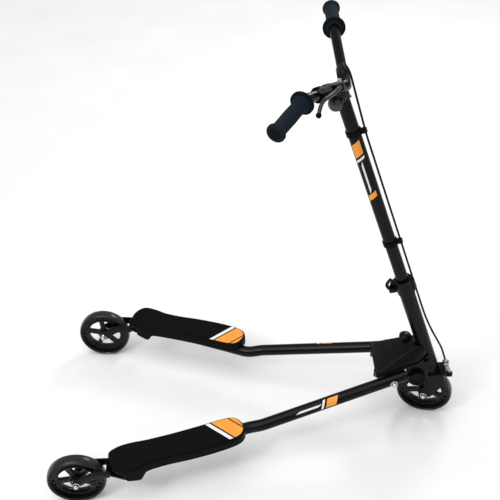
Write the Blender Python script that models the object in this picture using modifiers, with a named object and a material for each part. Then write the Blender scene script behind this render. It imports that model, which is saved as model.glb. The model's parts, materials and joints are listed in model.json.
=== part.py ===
"""Three-wheel kick scooter with a V frame, two foot decks, two swivel casters and a steered front wheel.

Metres, +Z up, +X forward, +Y to the rider's left. The ground is z = 0.
"""

import math

import bmesh
import bpy
from mathutils import Matrix, Vector

MM = 0.001
CLEAR = 0.3 * MM  # running and seating clearance between two pieces

# Wheels
WHEEL_RADIUS = 72.5 * MM
WHEEL_WIDTH = 30 * MM
TREAD_CROWN = 5 * MM
TYRE_INNER_RADIUS = 65.3 * MM
TYRE_INNER_WIDTH = 26 * MM
TYRE_SEGMENTS = 28
RIM_SEGMENTS = 20
TUBE_SEGMENTS = 20
GRIP_SEGMENTS = 16
BAND_WALL = 3 * MM
BARREL_RADIUS = 50 * MM
BARREL_WALL = 4.5 * MM
BARREL_WIDTH = 23 * MM
FLANGE_THICKNESS = 6 * MM
HUB_WALL = 3 * MM
HUB_WIDTH = 29 * MM
SPOKES = 5
SPOKE_WIDTH = 14 * MM
SPOKE_THICKNESS = 13 * MM
SPOKE_ROOT_RADIUS = 20 * MM
FLANGE_HOLE = 6.5 * MM
FLANGE_HOLE_ANGLE = math.radians(8)
BEARING_RADIUS = 11 * MM
BEARING_WIDTH = 7 * MM
SPACER_RADIUS = 6.5 * MM
AXLE_RADIUS = 4 * MM
SPOKE_ANGLE_LEFT = math.radians(26)
SPOKE_ANGLE_RIGHT = math.radians(-28)
SPOKE_ANGLE_FRONT = math.radians(-20)

# Cap nuts of the axles and of the arm bolts
NUT_FLANGE_RADIUS = 12.5 * MM
NUT_FLANGE_THICKNESS = 2 * MM
NUT_HEX_RADIUS = 9 * MM
NUT_HEX_HEIGHT = 5 * MM
NUT_DOME_RADIUS = 7 * MM

# Casters: a kingpin that leans forward at its top, and a fork that trails behind it
KINGPIN_AHEAD_OF_AXLE = 130 * MM
KINGPIN_HALF_TRACK = 266 * MM
KINGPIN_LEAN = math.radians(30)
CASTER_TURN = math.radians(-3.48)
CASTER_TRAIL = 98.8 * MM
CASTER_DROP = 88.8 * MM
KINGPIN_RADIUS = 6 * MM
CUP_RADIUS = 20 * MM
CUP_WALL = 4 * MM
CUP_BELOW = 19 * MM
CUP_ABOVE = 18 * MM
CROWN_THICKNESS = 6 * MM
CASTER_BLADE = 4 * MM
BLADE_CLEARANCE = 3.5 * MM  # from the tyre to a fork blade

# Arms
ARM_RADIUS = 15 * MM
ARM_WALL = 2 * MM
ARM_DECK_HEIGHT = 99 * MM
ARM_TOE_X = 405 * MM
ARM_TOE_Y = 148 * MM
ARM_REAR_X = 744 * MM  # where the arm runs in under the yoke plate
ARM_REAR_Y = 73.5 * MM
ARM_REAR_Z = 169 * MM
ARM_SLOPE = -0.234  # sideways per length forward, in front of the deck
ARM_RISE = 0.2178  # upward per length forward
ARM_END_X = 822 * MM
ARM_BOLT_X = 785 * MM
ARM_BOLT_RADIUS = 5 * MM

# Decks
DECK_TOP = 131 * MM
DECK_WALL = 2.6 * MM
DECK_SKIRT = 22 * MM
HEEL_SKIRT = 41 * MM
HEEL_REAR = -16 * MM  # from the kingpin forward
HEEL_FRONT = 20 * MM
HEEL_RAMP = 36 * MM
DECK_TURN = math.radians(-19)
PAD_THICKNESS = 2.2 * MM
PAD_INSET = 4.5 * MM
PAD_INNER_INSET = 9 * MM
DECK_RIB = 5 * MM

# Yoke: a plate that rises with the arms, a sloping cover over it, and the head tube
PLATE_REAR_Z = 188 * MM
PLATE_THICKNESS = 4 * MM
PLATE_REAR_HALF = 70 * MM
PLATE_SHOULDER_X = 856 * MM  # where the plate narrows towards the head tube
PLATE_SHOULDER_HALF = 47 * MM
PLATE_FRONT_HALF = 24 * MM
COVER_RIDGE_X = 842 * MM
COVER_RIDGE_Z = 250 * MM
COVER_RIDGE_HALF = 26 * MM
KNOB_RADIUS = 14 * MM
KNOB_HEIGHT = 12 * MM
KNUCKLE_HALF = 37 * MM
KNUCKLE_WALL = 4 * MM
CAP_RADIUS = 23 * MM
CAP_DEPTH = 12 * MM
CAP_FINS = 10
CAP_X = 853 * MM
CAP_Z = 162 * MM

# Steering axis
AXIS_BASE_X = 951.4 * MM  # where the axis meets the ground, ahead of the rear axles
AXIS_RAKE = math.radians(18.39)
STEER_TURN = math.radians(-16.28)  # the bars stand turned to the right
HEAD_LOW = 166 * MM
HEAD_HIGH = 430 * MM
HEAD_RADIUS = 19 * MM
STEERER_RADIUS = 17 * MM
STEM_RADIUS = 15.1 * MM
TUBE_WALL = 2 * MM
FRONT_OFFSET = 39 * MM  # the front axle lies this far behind the axis
CROWN_LOW = 153.6 * MM
CROWN_HIGH = 161 * MM
CROWN_HALF = 26 * MM
SHIELD_INNER = 20 * MM
SHIELD_THICKNESS = 3.5 * MM
COLLAR_LOW = 437.4 * MM
COLLAR_HIGH = 475 * MM
COLLAR_WALL = 5 * MM
STEM_BOTTOM = 330 * MM
LUG_HIGH = 1017 * MM
LUG_HEIGHT = 36 * MM
LUG_LOW = LUG_HIGH - LUG_HEIGHT
LUG_RADIUS = 18 * MM
SKEWER_S = 455 * MM
SKEWER_Q = -28 * MM
SKEWER_RADIUS = 2.8 * MM
CLIP_UPPER = LUG_LOW - 83 * MM
CLIP_LOWER = 590 * MM
CLIP_HEIGHT = 12 * MM
CLIP_WALL = 2.5 * MM
CLIP_LIP = 1.5 * MM  # of the clip in front of the cable

# Handlebar, as (forward, left, up the axis) in the steering frame
BAR_AHEAD = 15 * MM
BAR_BELOW_TOP = 6 * MM
GRIP_BACK = 38.4 * MM  # from the bar's vertex to the inner end of a grip
GRIP_OUT = 159 * MM
GRIP_ABOVE = 62 * MM
GRIP_SWEEP = 28.1 * MM  # from the inner to the outer end of a grip
GRIP_SPAN = 108 * MM
GRIP_RISE = 3 * MM
BAR_BEND_REACH = 8 * MM
BAR_VERTEX = Vector((BAR_AHEAD, 0, LUG_HIGH - BAR_BELOW_TOP))
GRIP_START = BAR_VERTEX + Vector((-GRIP_BACK, GRIP_OUT, GRIP_ABOVE))
GRIP_END = GRIP_START + Vector((-GRIP_SWEEP, GRIP_SPAN, GRIP_RISE))
BAR_RADIUS = 11 * MM
CORE_RADIUS = 9 * MM
SLEEVE_START = 24 * MM
SLEEVE_END = 50 * MM
BRACKET_CLAMP_LOW = 67.5 * MM
BRACKET_CLAMP_WIDTH = 16.5 * MM
BRACKET_WALL = 5 * MM
TAIL_END = 136 * MM
TAIL_THICKNESS = 4 * MM
BAND_LOW = 105 * MM
BAND_WIDTH = 13 * MM
BAND_RADIUS = 16.5 * MM
SLEEVE_RADIUS = 14 * MM
GRIP_RADIUS = 15 * MM
GRIP_FLANGE_RADIUS = 25 * MM
GRIP_KNOB_RADIUS = 20 * MM

# Brake
CABLE_RADIUS = 2.5 * MM
CABLE_Q = 25.6 * MM  # the cable runs up in front of the stem at this distance
BRAKE_PIN_Q = 29 * MM
BRAKE_PIN_S = 146 * MM
BRAKE_PIN_RADIUS = 3 * MM
SHOE_GAP = 1.3 * MM
SHOE_THICKNESS = 4 * MM
CABLE_STOP_Q = 41 * MM
CABLE_STOP_LOW = 176 * MM
CABLE_STOP_HIGH = 186 * MM
ANCHOR_Q = 43 * MM
ANCHOR_S = 139 * MM
WIRE_RADIUS = 0.9 * MM
WIRE_FOOT = Vector((ANCHOR_Q, 0, ANCHOR_S - 3.5 * MM))
SPRING_RADIUS = 3.6 * MM
SPRING_WIRE = 0.7 * MM
SPRING_TURNS = 6
POINTS_PER_TURN = 8

SIDEWAYS = math.pi / 2  # turns a shape's own axis from up to the right

PAINT = ("black_paint", (0.012, 0.012, 0.013), 0.35, 0.0)
PLASTIC = ("black_plastic", (0.015, 0.015, 0.016), 0.5, 0.0)
PAD = ("grip_pad", (0.02, 0.02, 0.02), 0.85, 0.0)
CHROME = ("chrome", (0.75, 0.75, 0.76), 0.12, 1.0)
STEEL = ("bright_steel", (0.5, 0.5, 0.5), 0.35, 1.0)
TYRE = ("smoky_tyre", (0.06, 0.06, 0.065), 0.3, 0.0)
RIM = ("black_rim", (0.012, 0.012, 0.012), 0.35, 0.0)
GRIP = ("slate_foam", (0.015, 0.03, 0.05), 0.8, 0.0)
LEVER = ("grey_alloy", (0.16, 0.16, 0.16), 0.35, 0.6)
RUBBER = ("brake_rubber", (0.02, 0.02, 0.02), 0.9, 0.0)
CABLE = ("cable_jacket", (0.01, 0.01, 0.01), 0.5, 0.0)


def clear_scene():
    for obj in list(bpy.data.objects):
        bpy.data.objects.remove(obj)


def new_collection(name):
    made = bpy.data.collections.new(name)
    bpy.context.scene.collection.children.link(made)
    return made


clear_scene()
PARTS = new_collection("three_wheel_scooter")
CUTTERS = new_collection("cutters")


def material(spec):
    name, colour, roughness, metallic = spec
    found = bpy.data.materials.get(name)
    if found:
        return found
    made = bpy.data.materials.new(name)
    made.use_nodes = True
    shader = made.node_tree.nodes["Principled BSDF"]
    shader.inputs["Base Color"].default_value = (*colour, 1)
    shader.inputs["Roughness"].default_value = roughness
    shader.inputs["Metallic"].default_value = metallic
    return made


def empty(name, parent=None, at=(0, 0, 0), turn=(0, 0, 0)):
    made = bpy.data.objects.new(name, None)
    made.location = at
    made.rotation_euler = turn
    made.parent = parent
    PARTS.objects.link(made)
    return made


def helper(name, data):
    """An object among the cutters, which is no piece of the scooter itself."""
    made = bpy.data.objects.new(name, data)
    made.hide_render = True
    made.display_type = "WIRE"
    CUTTERS.objects.link(made)
    return made


def baked(obj):
    """The mesh of an object with its modifiers applied and its loose caps welded, in the object's own frame."""
    bpy.context.view_layer.update()
    graph = bpy.context.evaluated_depsgraph_get()
    mesh = bpy.data.meshes.new_from_object(obj.evaluated_get(graph))
    bm = bmesh.new()
    bm.from_mesh(mesh)
    bmesh.ops.remove_doubles(bm, verts=bm.verts, dist=0.005 * MM)
    bm.to_mesh(mesh)
    bm.free()
    bpy.data.objects.remove(obj)
    return mesh


def moved(mesh, at=(0, 0, 0), turn=(0, 0, 0)):
    """The same mesh after a rotation, given as X, Y and Z angles, and then a move."""
    spin = Matrix.Rotation(turn[2], 4, "Z") @ Matrix.Rotation(turn[1], 4, "Y") @ Matrix.Rotation(turn[0], 4, "X")
    mesh.transform(Matrix.Translation(at) @ spin)
    return mesh


def turned(profile, segments=20, ring=False):
    """A turned shape round Z. The profile is (radius, height) pairs, down the outside and, for a ring, up the bore."""
    mesh = bpy.data.meshes.new("turned")
    last = len(profile) - 1
    edges = [(i, i + 1) for i in range(last)]
    if ring:
        edges.append((last, 0))
    mesh.from_pydata([(radius, 0, height) for radius, height in profile], edges, [])
    obj = helper("turned", mesh)
    screw = obj.modifiers.new("turn", "SCREW")
    screw.steps = segments
    screw.render_steps = segments
    screw.use_merge_vertices = True
    screw.merge_threshold = 0.01 * MM
    return baked(obj)


def rod(radius, low, high, segments=14):
    return turned([(0, high), (radius, high), (radius, low), (0, low)], segments)


def drill(radius, low, high, segments=12):
    """A rod to cut a bore with, whose flats keep the full radius."""
    return rod(radius / math.cos(math.pi / segments), low, high, segments)


def ring(outer, inner, low, high, segments=20):
    bore = inner / math.cos(math.pi / segments)
    return turned([(outer, high), (outer, low), (bore, low), (bore, high)], segments, ring=True)


def box(size, at=(0, 0, 0), bevel=0.0):
    bm = bmesh.new()
    bmesh.ops.create_cube(bm, size=1, matrix=Matrix.Translation(at) @ Matrix.Diagonal((*size, 1)))
    if bevel:
        bmesh.ops.bevel(bm, geom=bm.edges, offset=bevel, segments=1, affect="EDGES", clamp_overlap=True)
    mesh = bpy.data.meshes.new("box")
    bm.to_mesh(mesh)
    bm.free()
    return mesh


def rounded(points, radii, steps=3):
    """A closed outline whose corners are arcs. Each corner has its own radius, or none."""
    outline = []
    count = len(points)
    for i, corner in enumerate(points):
        corner = Vector(corner)
        radius = radii[i] if isinstance(radii, (list, tuple)) else radii
        back = (Vector(points[i - 1]) - corner).normalized()
        ahead = (Vector(points[(i + 1) % count]) - corner).normalized()
        half = back.angle(ahead) / 2
        if radius <= 0 or half > math.radians(88):
            outline.append(tuple(corner))
            continue
        centre = corner + (back + ahead).normalized() * radius / math.sin(half)
        start = corner + back * radius / math.tan(half) - centre
        end = corner + ahead * radius / math.tan(half) - centre
        sweep = math.atan2(start.x * end.y - start.y * end.x, start.dot(end))
        for k in range(steps + 1):
            spin = Matrix.Rotation(sweep * k / steps, 2)
            outline.append(tuple(centre + spin @ start))
    return outline


def smooth_loop(points, steps=3):
    """A closed smooth outline through the points."""
    outline = []
    count = len(points)
    for i in range(count):
        p0, p1, p2, p3 = (Vector(points[(i + k - 1) % count]) for k in range(4))
        for k in range(steps):
            t = k / steps
            outline.append(tuple(catmull(p0, p1, p2, p3, t)))
    return outline


def catmull(p0, p1, p2, p3, t):
    return 0.5 * (
        2 * p1 + (p2 - p0) * t + (2 * p0 - 5 * p1 + 4 * p2 - p3) * t ** 2 + (3 * p1 - p0 - 3 * p2 + p3) * t ** 3
    )


def smooth_path(points, steps=4):
    """An open smooth route through the points."""
    padded = [Vector(p) for p in (points[0], *points, points[-1])]
    route = []
    for i in range(len(points) - 1):
        for k in range(steps):
            route.append(catmull(*padded[i : i + 4], k / steps))
    route.append(padded[-1])
    return route


def slab(outline, low, high):
    """A flat plate with this XY outline, between two heights."""
    curve = bpy.data.curves.new("slab", "CURVE")
    curve.dimensions = "2D"
    curve.fill_mode = "BOTH"
    curve.extrude = (high - low) / 2
    spline = curve.splines.new("POLY")
    spline.points.add(len(outline) - 1)
    for point, (x, y) in zip(spline.points, outline):
        point.co = (x, y, 0, 1)
    spline.use_cyclic_u = True
    return moved(baked(helper("slab", curve)), at=(0, 0, (high + low) / 2))


def side_slab(outline, low, high):
    """A plate with this XZ outline, between two places along Y."""
    return moved(slab(outline, -high, -low), turn=(SIDEWAYS, 0, 0))


def tube(points, radius, scales=None, resolution=3):
    """A solid rod along a route, with a radius that may change from point to point."""
    curve = bpy.data.curves.new("tube", "CURVE")
    curve.dimensions = "3D"
    curve.fill_mode = "FULL"
    curve.bevel_depth = radius
    curve.bevel_resolution = resolution
    curve.use_fill_caps = True
    spline = curve.splines.new("POLY")
    spline.points.add(len(points) - 1)
    for i, point in enumerate(points):
        spline.points[i].co = (*point, 1)
        spline.points[i].radius = scales[i] if scales else 1
    return baked(helper("tube", curve))


def hull(points):
    """The convex solid round the points."""
    bm = bmesh.new()
    for point in points:
        bm.verts.new(point)
    made = bmesh.ops.convex_hull(bm, input=bm.verts)
    loose = [g for g in made["geom_interior"] if isinstance(g, bmesh.types.BMVert)]
    bmesh.ops.delete(bm, geom=loose, context="VERTS")
    bmesh.ops.dissolve_limit(bm, angle_limit=math.radians(1), verts=bm.verts, edges=bm.edges)
    mesh = bpy.data.meshes.new("hull")
    bm.to_mesh(mesh)
    bm.free()
    return mesh


def bevelled(mesh, width, segments=2, angle=math.radians(35)):
    obj = helper("bevelled", mesh)
    bevel = obj.modifiers.new("bevel", "BEVEL")
    bevel.width = width
    bevel.segments = segments
    bevel.limit_method = "ANGLE"
    bevel.angle_limit = angle
    return baked(obj)


def combine(base, others, operation):
    obj = helper("base", base)
    tools = []
    for other in others:
        tool = helper("tool", other)
        tools.append(tool)
        boolean = obj.modifiers.new(operation, "BOOLEAN")
        boolean.operation = operation
        boolean.object = tool
    mesh = baked(obj)
    for tool in tools:
        bpy.data.objects.remove(tool)
    return mesh


def joined(base, *others):
    return combine(base, others, "UNION")


def cut(base, *others):
    return combine(base, others, "DIFFERENCE")


def copies_around(mesh, count, start=0.0):
    """Copies of a mesh, evenly spaced round Z, in one mesh."""
    bm = bmesh.new()
    for k in range(count):
        copy = mesh.copy()
        copy.transform(Matrix.Rotation(start + k * math.tau / count, 4, "Z"))
        bm.from_mesh(copy)
        bpy.data.meshes.remove(copy)
    made = bpy.data.meshes.new("copies")
    bm.to_mesh(made)
    bm.free()
    return made


def piece(name, mesh, finish, parent, at=(0, 0, 0), turn=(0, 0, 0)):
    mesh.materials.clear()
    mesh.materials.append(material(finish))
    mesh.shade_smooth()
    mesh.set_sharp_from_angle(angle=math.radians(35))
    made = bpy.data.objects.new(name, mesh)
    made.parent = parent
    made.location = at
    made.rotation_euler = turn
    PARTS.objects.link(made)
    return made


# Wheels


def tread():
    """Half of the tyre's outer section, from the middle to the edge, as (radius, half width)."""
    steps = 3
    angles = [math.radians(90) * k / steps for k in range(steps + 1)]
    edge = WHEEL_RADIUS - TREAD_CROWN
    return [(edge + TREAD_CROWN * math.cos(a), WHEEL_WIDTH / 2 * math.sin(a)) for a in angles]


def tread_drop(lean):
    """Height of a wheel's centre over the ground when the wheel leans by this angle."""
    return max(radius * math.cos(lean) + half * math.sin(abs(lean)) for radius, half in tread())


def tyre_mesh():
    crown = tread()
    outside = [(radius, half) for radius, half in reversed(crown)] + [(radius, -half) for radius, half in crown[1:]]
    half = TYRE_INNER_WIDTH / 2
    inner = TYRE_INNER_RADIUS / math.cos(math.pi / TYRE_SEGMENTS)
    return turned([*outside, (inner, -half), (inner, half)], TYRE_SEGMENTS, ring=True)


def rim_mesh():
    band_out = TYRE_INNER_RADIUS - CLEAR
    band_in = band_out - BAND_WALL
    barrel_in = BARREL_RADIUS - BARREL_WALL
    bore = (BEARING_RADIUS + CLEAR) / math.cos(math.pi / RIM_SEGMENTS)
    hub = bore + HUB_WALL
    band, flange, barrel = TYRE_INNER_WIDTH / 2, FLANGE_THICKNESS / 2, BARREL_WIDTH / 2
    spoke, hub_half = SPOKE_THICKNESS / 2, HUB_WIDTH / 2
    upper = [
        (bore, hub_half),
        (hub, hub_half),
        (hub, spoke),
        (barrel_in, spoke),
        (barrel_in, barrel),
        (BARREL_RADIUS, barrel),
        (BARREL_RADIUS, flange),
        (band_in, flange),
        (band_in, band),
        (band_out, band),
    ]
    lower = [(radius, -height) for radius, height in reversed(upper)]
    body = turned([*upper, *lower], RIM_SEGMENTS, ring=True)
    pitch = math.tau / SPOKES
    outer = barrel_in - 0.5 * MM
    far = math.asin(SPOKE_WIDTH / 2 / outer)
    near = math.asin(SPOKE_WIDTH / 2 / SPOKE_ROOT_RADIUS)
    steps = 3
    arc = [far + (pitch - 2 * far) * k / steps for k in range(steps + 1)]
    window = [(outer * math.cos(a), outer * math.sin(a)) for a in arc]
    window += [(SPOKE_ROOT_RADIUS * math.cos(a), SPOKE_ROOT_RADIUS * math.sin(a)) for a in (pitch - near, near)]
    corner = 3.5 * MM
    window = rounded(window, [corner] + [0] * (steps - 1) + [corner, 0, 0], 1)
    windows = copies_around(slab(window, -HUB_WIDTH, HUB_WIDTH), SPOKES)
    hole_radius = (BARREL_RADIUS + band_in) / 2
    hole = moved(drill(FLANGE_HOLE / 2, -HUB_WIDTH, HUB_WIDTH, 6), at=(hole_radius, 0, 0))
    holes = [copies_around(hole.copy(), SPOKES, FLANGE_HOLE_ANGLE * sign) for sign in (1, -1)]
    return cut(body, windows, *holes)


def bearings_mesh():
    """Two bearings with the spacer between them, on one bore."""
    half = HUB_WIDTH / 2
    inner = half - BEARING_WIDTH
    segments = 10
    bore = (AXLE_RADIUS + CLEAR) / math.cos(math.pi / segments)
    upper = [(bore, half), (BEARING_RADIUS, half), (BEARING_RADIUS, inner), (SPACER_RADIUS, inner)]
    lower = [(radius, -height) for radius, height in reversed(upper)]
    return turned([*upper, *lower], segments, ring=True)


def cap_nut_mesh(seat, bore):
    """A domed cap nut on a round flange, seated at this height and facing up."""
    hexagon = rod(NUT_HEX_RADIUS, seat + NUT_FLANGE_THICKNESS / 2, seat + NUT_FLANGE_THICKNESS + NUT_HEX_HEIGHT, 6)
    flange_top = seat + NUT_FLANGE_THICKNESS
    hex_top = flange_top + NUT_HEX_HEIGHT
    flange = turned(
        [
            (0, flange_top),
            (NUT_HEX_RADIUS, flange_top),
            (NUT_FLANGE_RADIUS, seat + NUT_FLANGE_THICKNESS / 2),
            (NUT_FLANGE_RADIUS, seat),
            (0, seat),
        ],
        12,
    )
    dome = turned(
        [
            (0, hex_top + 0.55 * NUT_DOME_RADIUS),
            (0.55 * NUT_DOME_RADIUS, hex_top + 0.45 * NUT_DOME_RADIUS),
            (NUT_DOME_RADIUS, hex_top),
            (NUT_DOME_RADIUS, flange_top),
            (0, flange_top),
        ],
        8,
    )
    blind = drill(bore, seat - MM, hex_top - MM, 6)
    return cut(joined(flange, hexagon, dome), blind)


def axle_mesh(blade_out):
    """An axle bolt: a domed flange head at the bottom, and a plain end inside the cap nut at the top."""
    head = -blade_out - CLEAR
    end = blade_out + NUT_FLANGE_THICKNESS + NUT_HEX_HEIGHT - 2 * MM
    low = head - NUT_FLANGE_THICKNESS
    return turned(
        [
            (0, end),
            (AXLE_RADIUS, end),
            (AXLE_RADIUS, head),
            (NUT_FLANGE_RADIUS, head),
            (NUT_FLANGE_RADIUS, low + NUT_FLANGE_THICKNESS / 2),
            (NUT_DOME_RADIUS, low - 2 * MM),
            (0, low - 5 * MM),
        ],
        16,
    )


TYRE_MESH = tyre_mesh()
RIM_MESH = rim_mesh()
BEARINGS_MESH = bearings_mesh()


def wheel(where, hub, spoke_angle, tyre_angle=0.0):
    """Tyre, rim and bearings round the Y axis of the hub empty."""
    piece(f"{where}_tyre", TYRE_MESH.copy(), TYRE, hub, turn=(SIDEWAYS, -tyre_angle, 0))
    piece(f"{where}_rim", RIM_MESH.copy(), RIM, hub, turn=(SIDEWAYS, -spoke_angle, 0))
    piece(f"{where}_bearings", BEARINGS_MESH.copy(), STEEL, hub, turn=(SIDEWAYS, 0, 0))


# Steering axis and its frame: X forward, Y left, Z up the axis

FRONT_LEAN = math.asin(math.sin(AXIS_RAKE) * math.sin(abs(STEER_TURN)))
FRONT_AXLE_S = (
    tread_drop(FRONT_LEAN) + FRONT_OFFSET * math.cos(STEER_TURN) * math.sin(AXIS_RAKE)
) / math.cos(AXIS_RAKE)
AXIS_FRAME = Matrix.Translation((AXIS_BASE_X, 0, 0)) @ Matrix.Rotation(-AXIS_RAKE, 4, "Y")
STEERED = AXIS_FRAME @ Matrix.Rotation(STEER_TURN, 4, "Z")
FRONT_CENTRE = STEERED @ Vector((-FRONT_OFFSET, 0, FRONT_AXLE_S))
ORIGIN_X = FRONT_CENTRE.x / 2

whole = empty("scooter", at=(-ORIGIN_X, 0, 0))
steering_axis = empty("steering_axis", whole, (AXIS_BASE_X, 0, 0), (0, -AXIS_RAKE, 0))
steered = empty("steered", steering_axis, turn=(0, 0, STEER_TURN))


# Yoke


def plate_height(x):
    """Height of the plate's underside at this distance forward."""
    return PLATE_REAR_Z + (x - ARM_REAR_X) * ARM_RISE


def head_x(z):
    """Forward place of the steering axis at this height."""
    return AXIS_BASE_X - z * math.tan(AXIS_RAKE)


def yoke_mesh():
    front_x = head_x(plate_height(COVER_RIDGE_X))
    corners = [
        (ARM_REAR_X, PLATE_REAR_HALF),
        (PLATE_SHOULDER_X, PLATE_SHOULDER_HALF),
        (front_x, PLATE_FRONT_HALF),
    ]
    corners += [(x, -y) for x, y in reversed(corners)]
    outline = rounded(corners, [6 * MM, 8 * MM, 4 * MM, 4 * MM, 8 * MM, 6 * MM], 2)
    plate = slab(outline, 0, PLATE_THICKNESS)
    shear = Matrix.Identity(4)
    shear[2][0] = ARM_RISE
    plate.transform(Matrix.Translation((0, 0, PLATE_REAR_Z - ARM_REAR_X * ARM_RISE)) @ shear)

    sink = PLATE_THICKNESS / 2
    inset = 3 * MM
    base = [
        (ARM_REAR_X + inset, PLATE_REAR_HALF - 2 * inset),
        (PLATE_SHOULDER_X - inset, PLATE_SHOULDER_HALF - inset),
        (front_x - inset, PLATE_FRONT_HALF - inset),
    ]
    ridge = [(COVER_RIDGE_X, COVER_RIDGE_HALF), (head_x(COVER_RIDGE_Z), COVER_RIDGE_HALF * 0.7)]
    points = [Vector((x, y * s, plate_height(x) + sink)) for x, y in base for s in (1, -1)]
    points += [Vector((x, y * s, COVER_RIDGE_Z)) for x, y in ridge for s in (1, -1)]
    points += [Vector((ARM_REAR_X + inset, (PLATE_REAR_HALF - 3 * inset) * s, PLATE_REAR_Z + 9 * MM)) for s in (1, -1)]
    cover = bevelled(hull(points), 3 * MM, 1)
    knob = turned(
        [
            (0, KNOB_HEIGHT),
            (0.6 * KNOB_RADIUS, 0.9 * KNOB_HEIGHT),
            (0.9 * KNOB_RADIUS, 0.55 * KNOB_HEIGHT),
            (KNOB_RADIUS, 0),
            (KNOB_RADIUS, -KNOB_HEIGHT),
            (0, -KNOB_HEIGHT),
        ],
        14,
    )
    knob = moved(knob, at=(COVER_RIDGE_X - KNOB_RADIUS, COVER_RIDGE_HALF - 2 * MM, COVER_RIDGE_Z))

    tube_out = rod(HEAD_RADIUS, HEAD_LOW, HEAD_HIGH, TUBE_SEGMENTS)
    tube_out.transform(AXIS_FRAME)
    bore = drill(STEERER_RADIUS + CLEAR, HEAD_LOW - 20 * MM, HEAD_HIGH + 5 * MM, TUBE_SEGMENTS)
    bore.transform(AXIS_FRAME)

    body = joined(plate, cover, knob, tube_out, knuckle_mesh(), *ear_meshes(), *rear_lugs())
    trim = rod(60 * MM, HEAD_LOW - 60 * MM, HEAD_LOW - CLEAR, 12)
    trim.transform(AXIS_FRAME)
    return cut(body, bore, trim)


def knuckle_mesh():
    """The downward channel behind the head tube that carries the two round bolt covers."""
    top = plate_height(COVER_RIDGE_X) + PLATE_THICKNESS / 2
    rear = CAP_X - 27 * MM
    front = head_x(HEAD_LOW)
    outline = rounded(
        [
            (rear - 6 * MM, top - 4 * MM),
            (rear + 4 * MM, CAP_Z - 6 * MM),
            (rear + 16 * MM, CAP_Z - 15 * MM),
            (front - 20 * MM, CAP_Z - 12 * MM),
            (front - 14 * MM, CAP_Z - 4 * MM),
            (front - 14 * MM, top),
        ],
        [0, 8 * MM, 6 * MM, 4 * MM, 0, 0],
        2,
    )
    solid = side_slab(outline, -KNUCKLE_HALF, KNUCKLE_HALF)
    inside = KNUCKLE_HALF - KNUCKLE_WALL
    hollow = box(
        (front - rear, 2 * inside, top - CAP_Z + 6 * MM),
        at=((rear + front) / 2 - 20 * MM, 0, (CAP_Z - 18 * MM + top - 12 * MM) / 2),
    )
    return cut(solid, hollow)


def arm_line(x):
    """Centre of the arm tube in front of the deck, on the left side."""
    along = x - ARM_REAR_X
    return Vector((x, ARM_REAR_Y + along * ARM_SLOPE, ARM_REAR_Z + along * ARM_RISE))


ARM_YAW = math.atan(ARM_SLOPE)
BOLT_TURN = (-SIDEWAYS, 0, ARM_YAW)  # the bolt's own axis points outward, square to the arm


def ear_meshes():
    """The two upright ears under the plate that the arm bolts go through."""
    made = []
    for sign in (1, -1):
        centre = arm_line(ARM_BOLT_X)
        ear = box((34 * MM, 5 * MM, 34 * MM), at=(0, -(ARM_RADIUS + CLEAR + 2.5 * MM), -2 * MM))
        hole = moved(drill(ARM_BOLT_RADIUS + CLEAR, -40 * MM, 40 * MM), turn=(SIDEWAYS, 0, 0))
        ear = cut(ear, hole)
        ear.transform(Matrix.Translation(centre) @ Matrix.Rotation(ARM_YAW, 4, "Z"))
        if sign < 0:
            ear.transform(Matrix.Diagonal((1, -1, 1, 1)))
            ear.flip_normals()
        made.append(ear)
    return made


def rear_lugs():
    """Two small lugs under the plate's rear edge."""
    lug = rod(6 * MM, PLATE_REAR_Z - 18 * MM, PLATE_REAR_Z + 2 * MM, 12)
    return [moved(lug.copy(), at=(ARM_REAR_X + 4 * MM, 38 * MM * sign, 0)) for sign in (1, -1)]


def cup_mesh(low, high):
    """A headset cup, with its lip over the end of the head tube."""
    bore = STEERER_RADIUS + CLEAR
    return ring(HEAD_RADIUS + 2 * MM, bore, low, high, TUBE_SEGMENTS)


def bolt_cover_mesh():
    """A round cap with fins round its rim and a small screw head in its face."""
    body = turned(
        [
            (0, CAP_DEPTH),
            (CAP_RADIUS - 4 * MM, CAP_DEPTH),
            (CAP_RADIUS - 1.5 * MM, CAP_DEPTH - 2 * MM),
            (CAP_RADIUS - 1.5 * MM, 0),
            (0, 0),
        ],
        20,
    )
    fin = box((3 * MM, 2 * MM, CAP_DEPTH - 3 * MM), at=(CAP_RADIUS - 1.5 * MM, 0, CAP_DEPTH / 2))
    screw = moved(rod(2.5 * MM, CAP_DEPTH - MM, CAP_DEPTH + MM, 8), at=(0, 12 * MM, 0))
    return joined(body, copies_around(fin, CAP_FINS), screw)


def front_frame():
    piece("front_yoke", yoke_mesh(), PAINT, whole)
    piece("headset_cup_lower", cup_mesh(CROWN_HIGH + CLEAR, HEAD_LOW - 2 * CLEAR), PAINT, steering_axis)
    piece("headset_cup_upper", cup_mesh(HEAD_HIGH + CLEAR, COLLAR_LOW - CLEAR), PAINT, steering_axis)


# Arms, decks and casters, drawn for the left side

CASTER_LEAN = math.asin(math.sin(abs(CASTER_TURN)) * math.sin(KINGPIN_LEAN))
KINGPIN_Z = (
    tread_drop(CASTER_LEAN)
    + CASTER_DROP * math.cos(KINGPIN_LEAN)
    - CASTER_TRAIL * math.cos(CASTER_TURN) * math.sin(KINGPIN_LEAN)
)
KINGPIN = Vector((KINGPIN_AHEAD_OF_AXLE, KINGPIN_HALF_TRACK, KINGPIN_Z))
KINGPIN_FRAME = Matrix.Translation(KINGPIN) @ Matrix.Rotation(KINGPIN_LEAN, 4, "Y")
CUP_BORE = CUP_RADIUS - CUP_WALL


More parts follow.
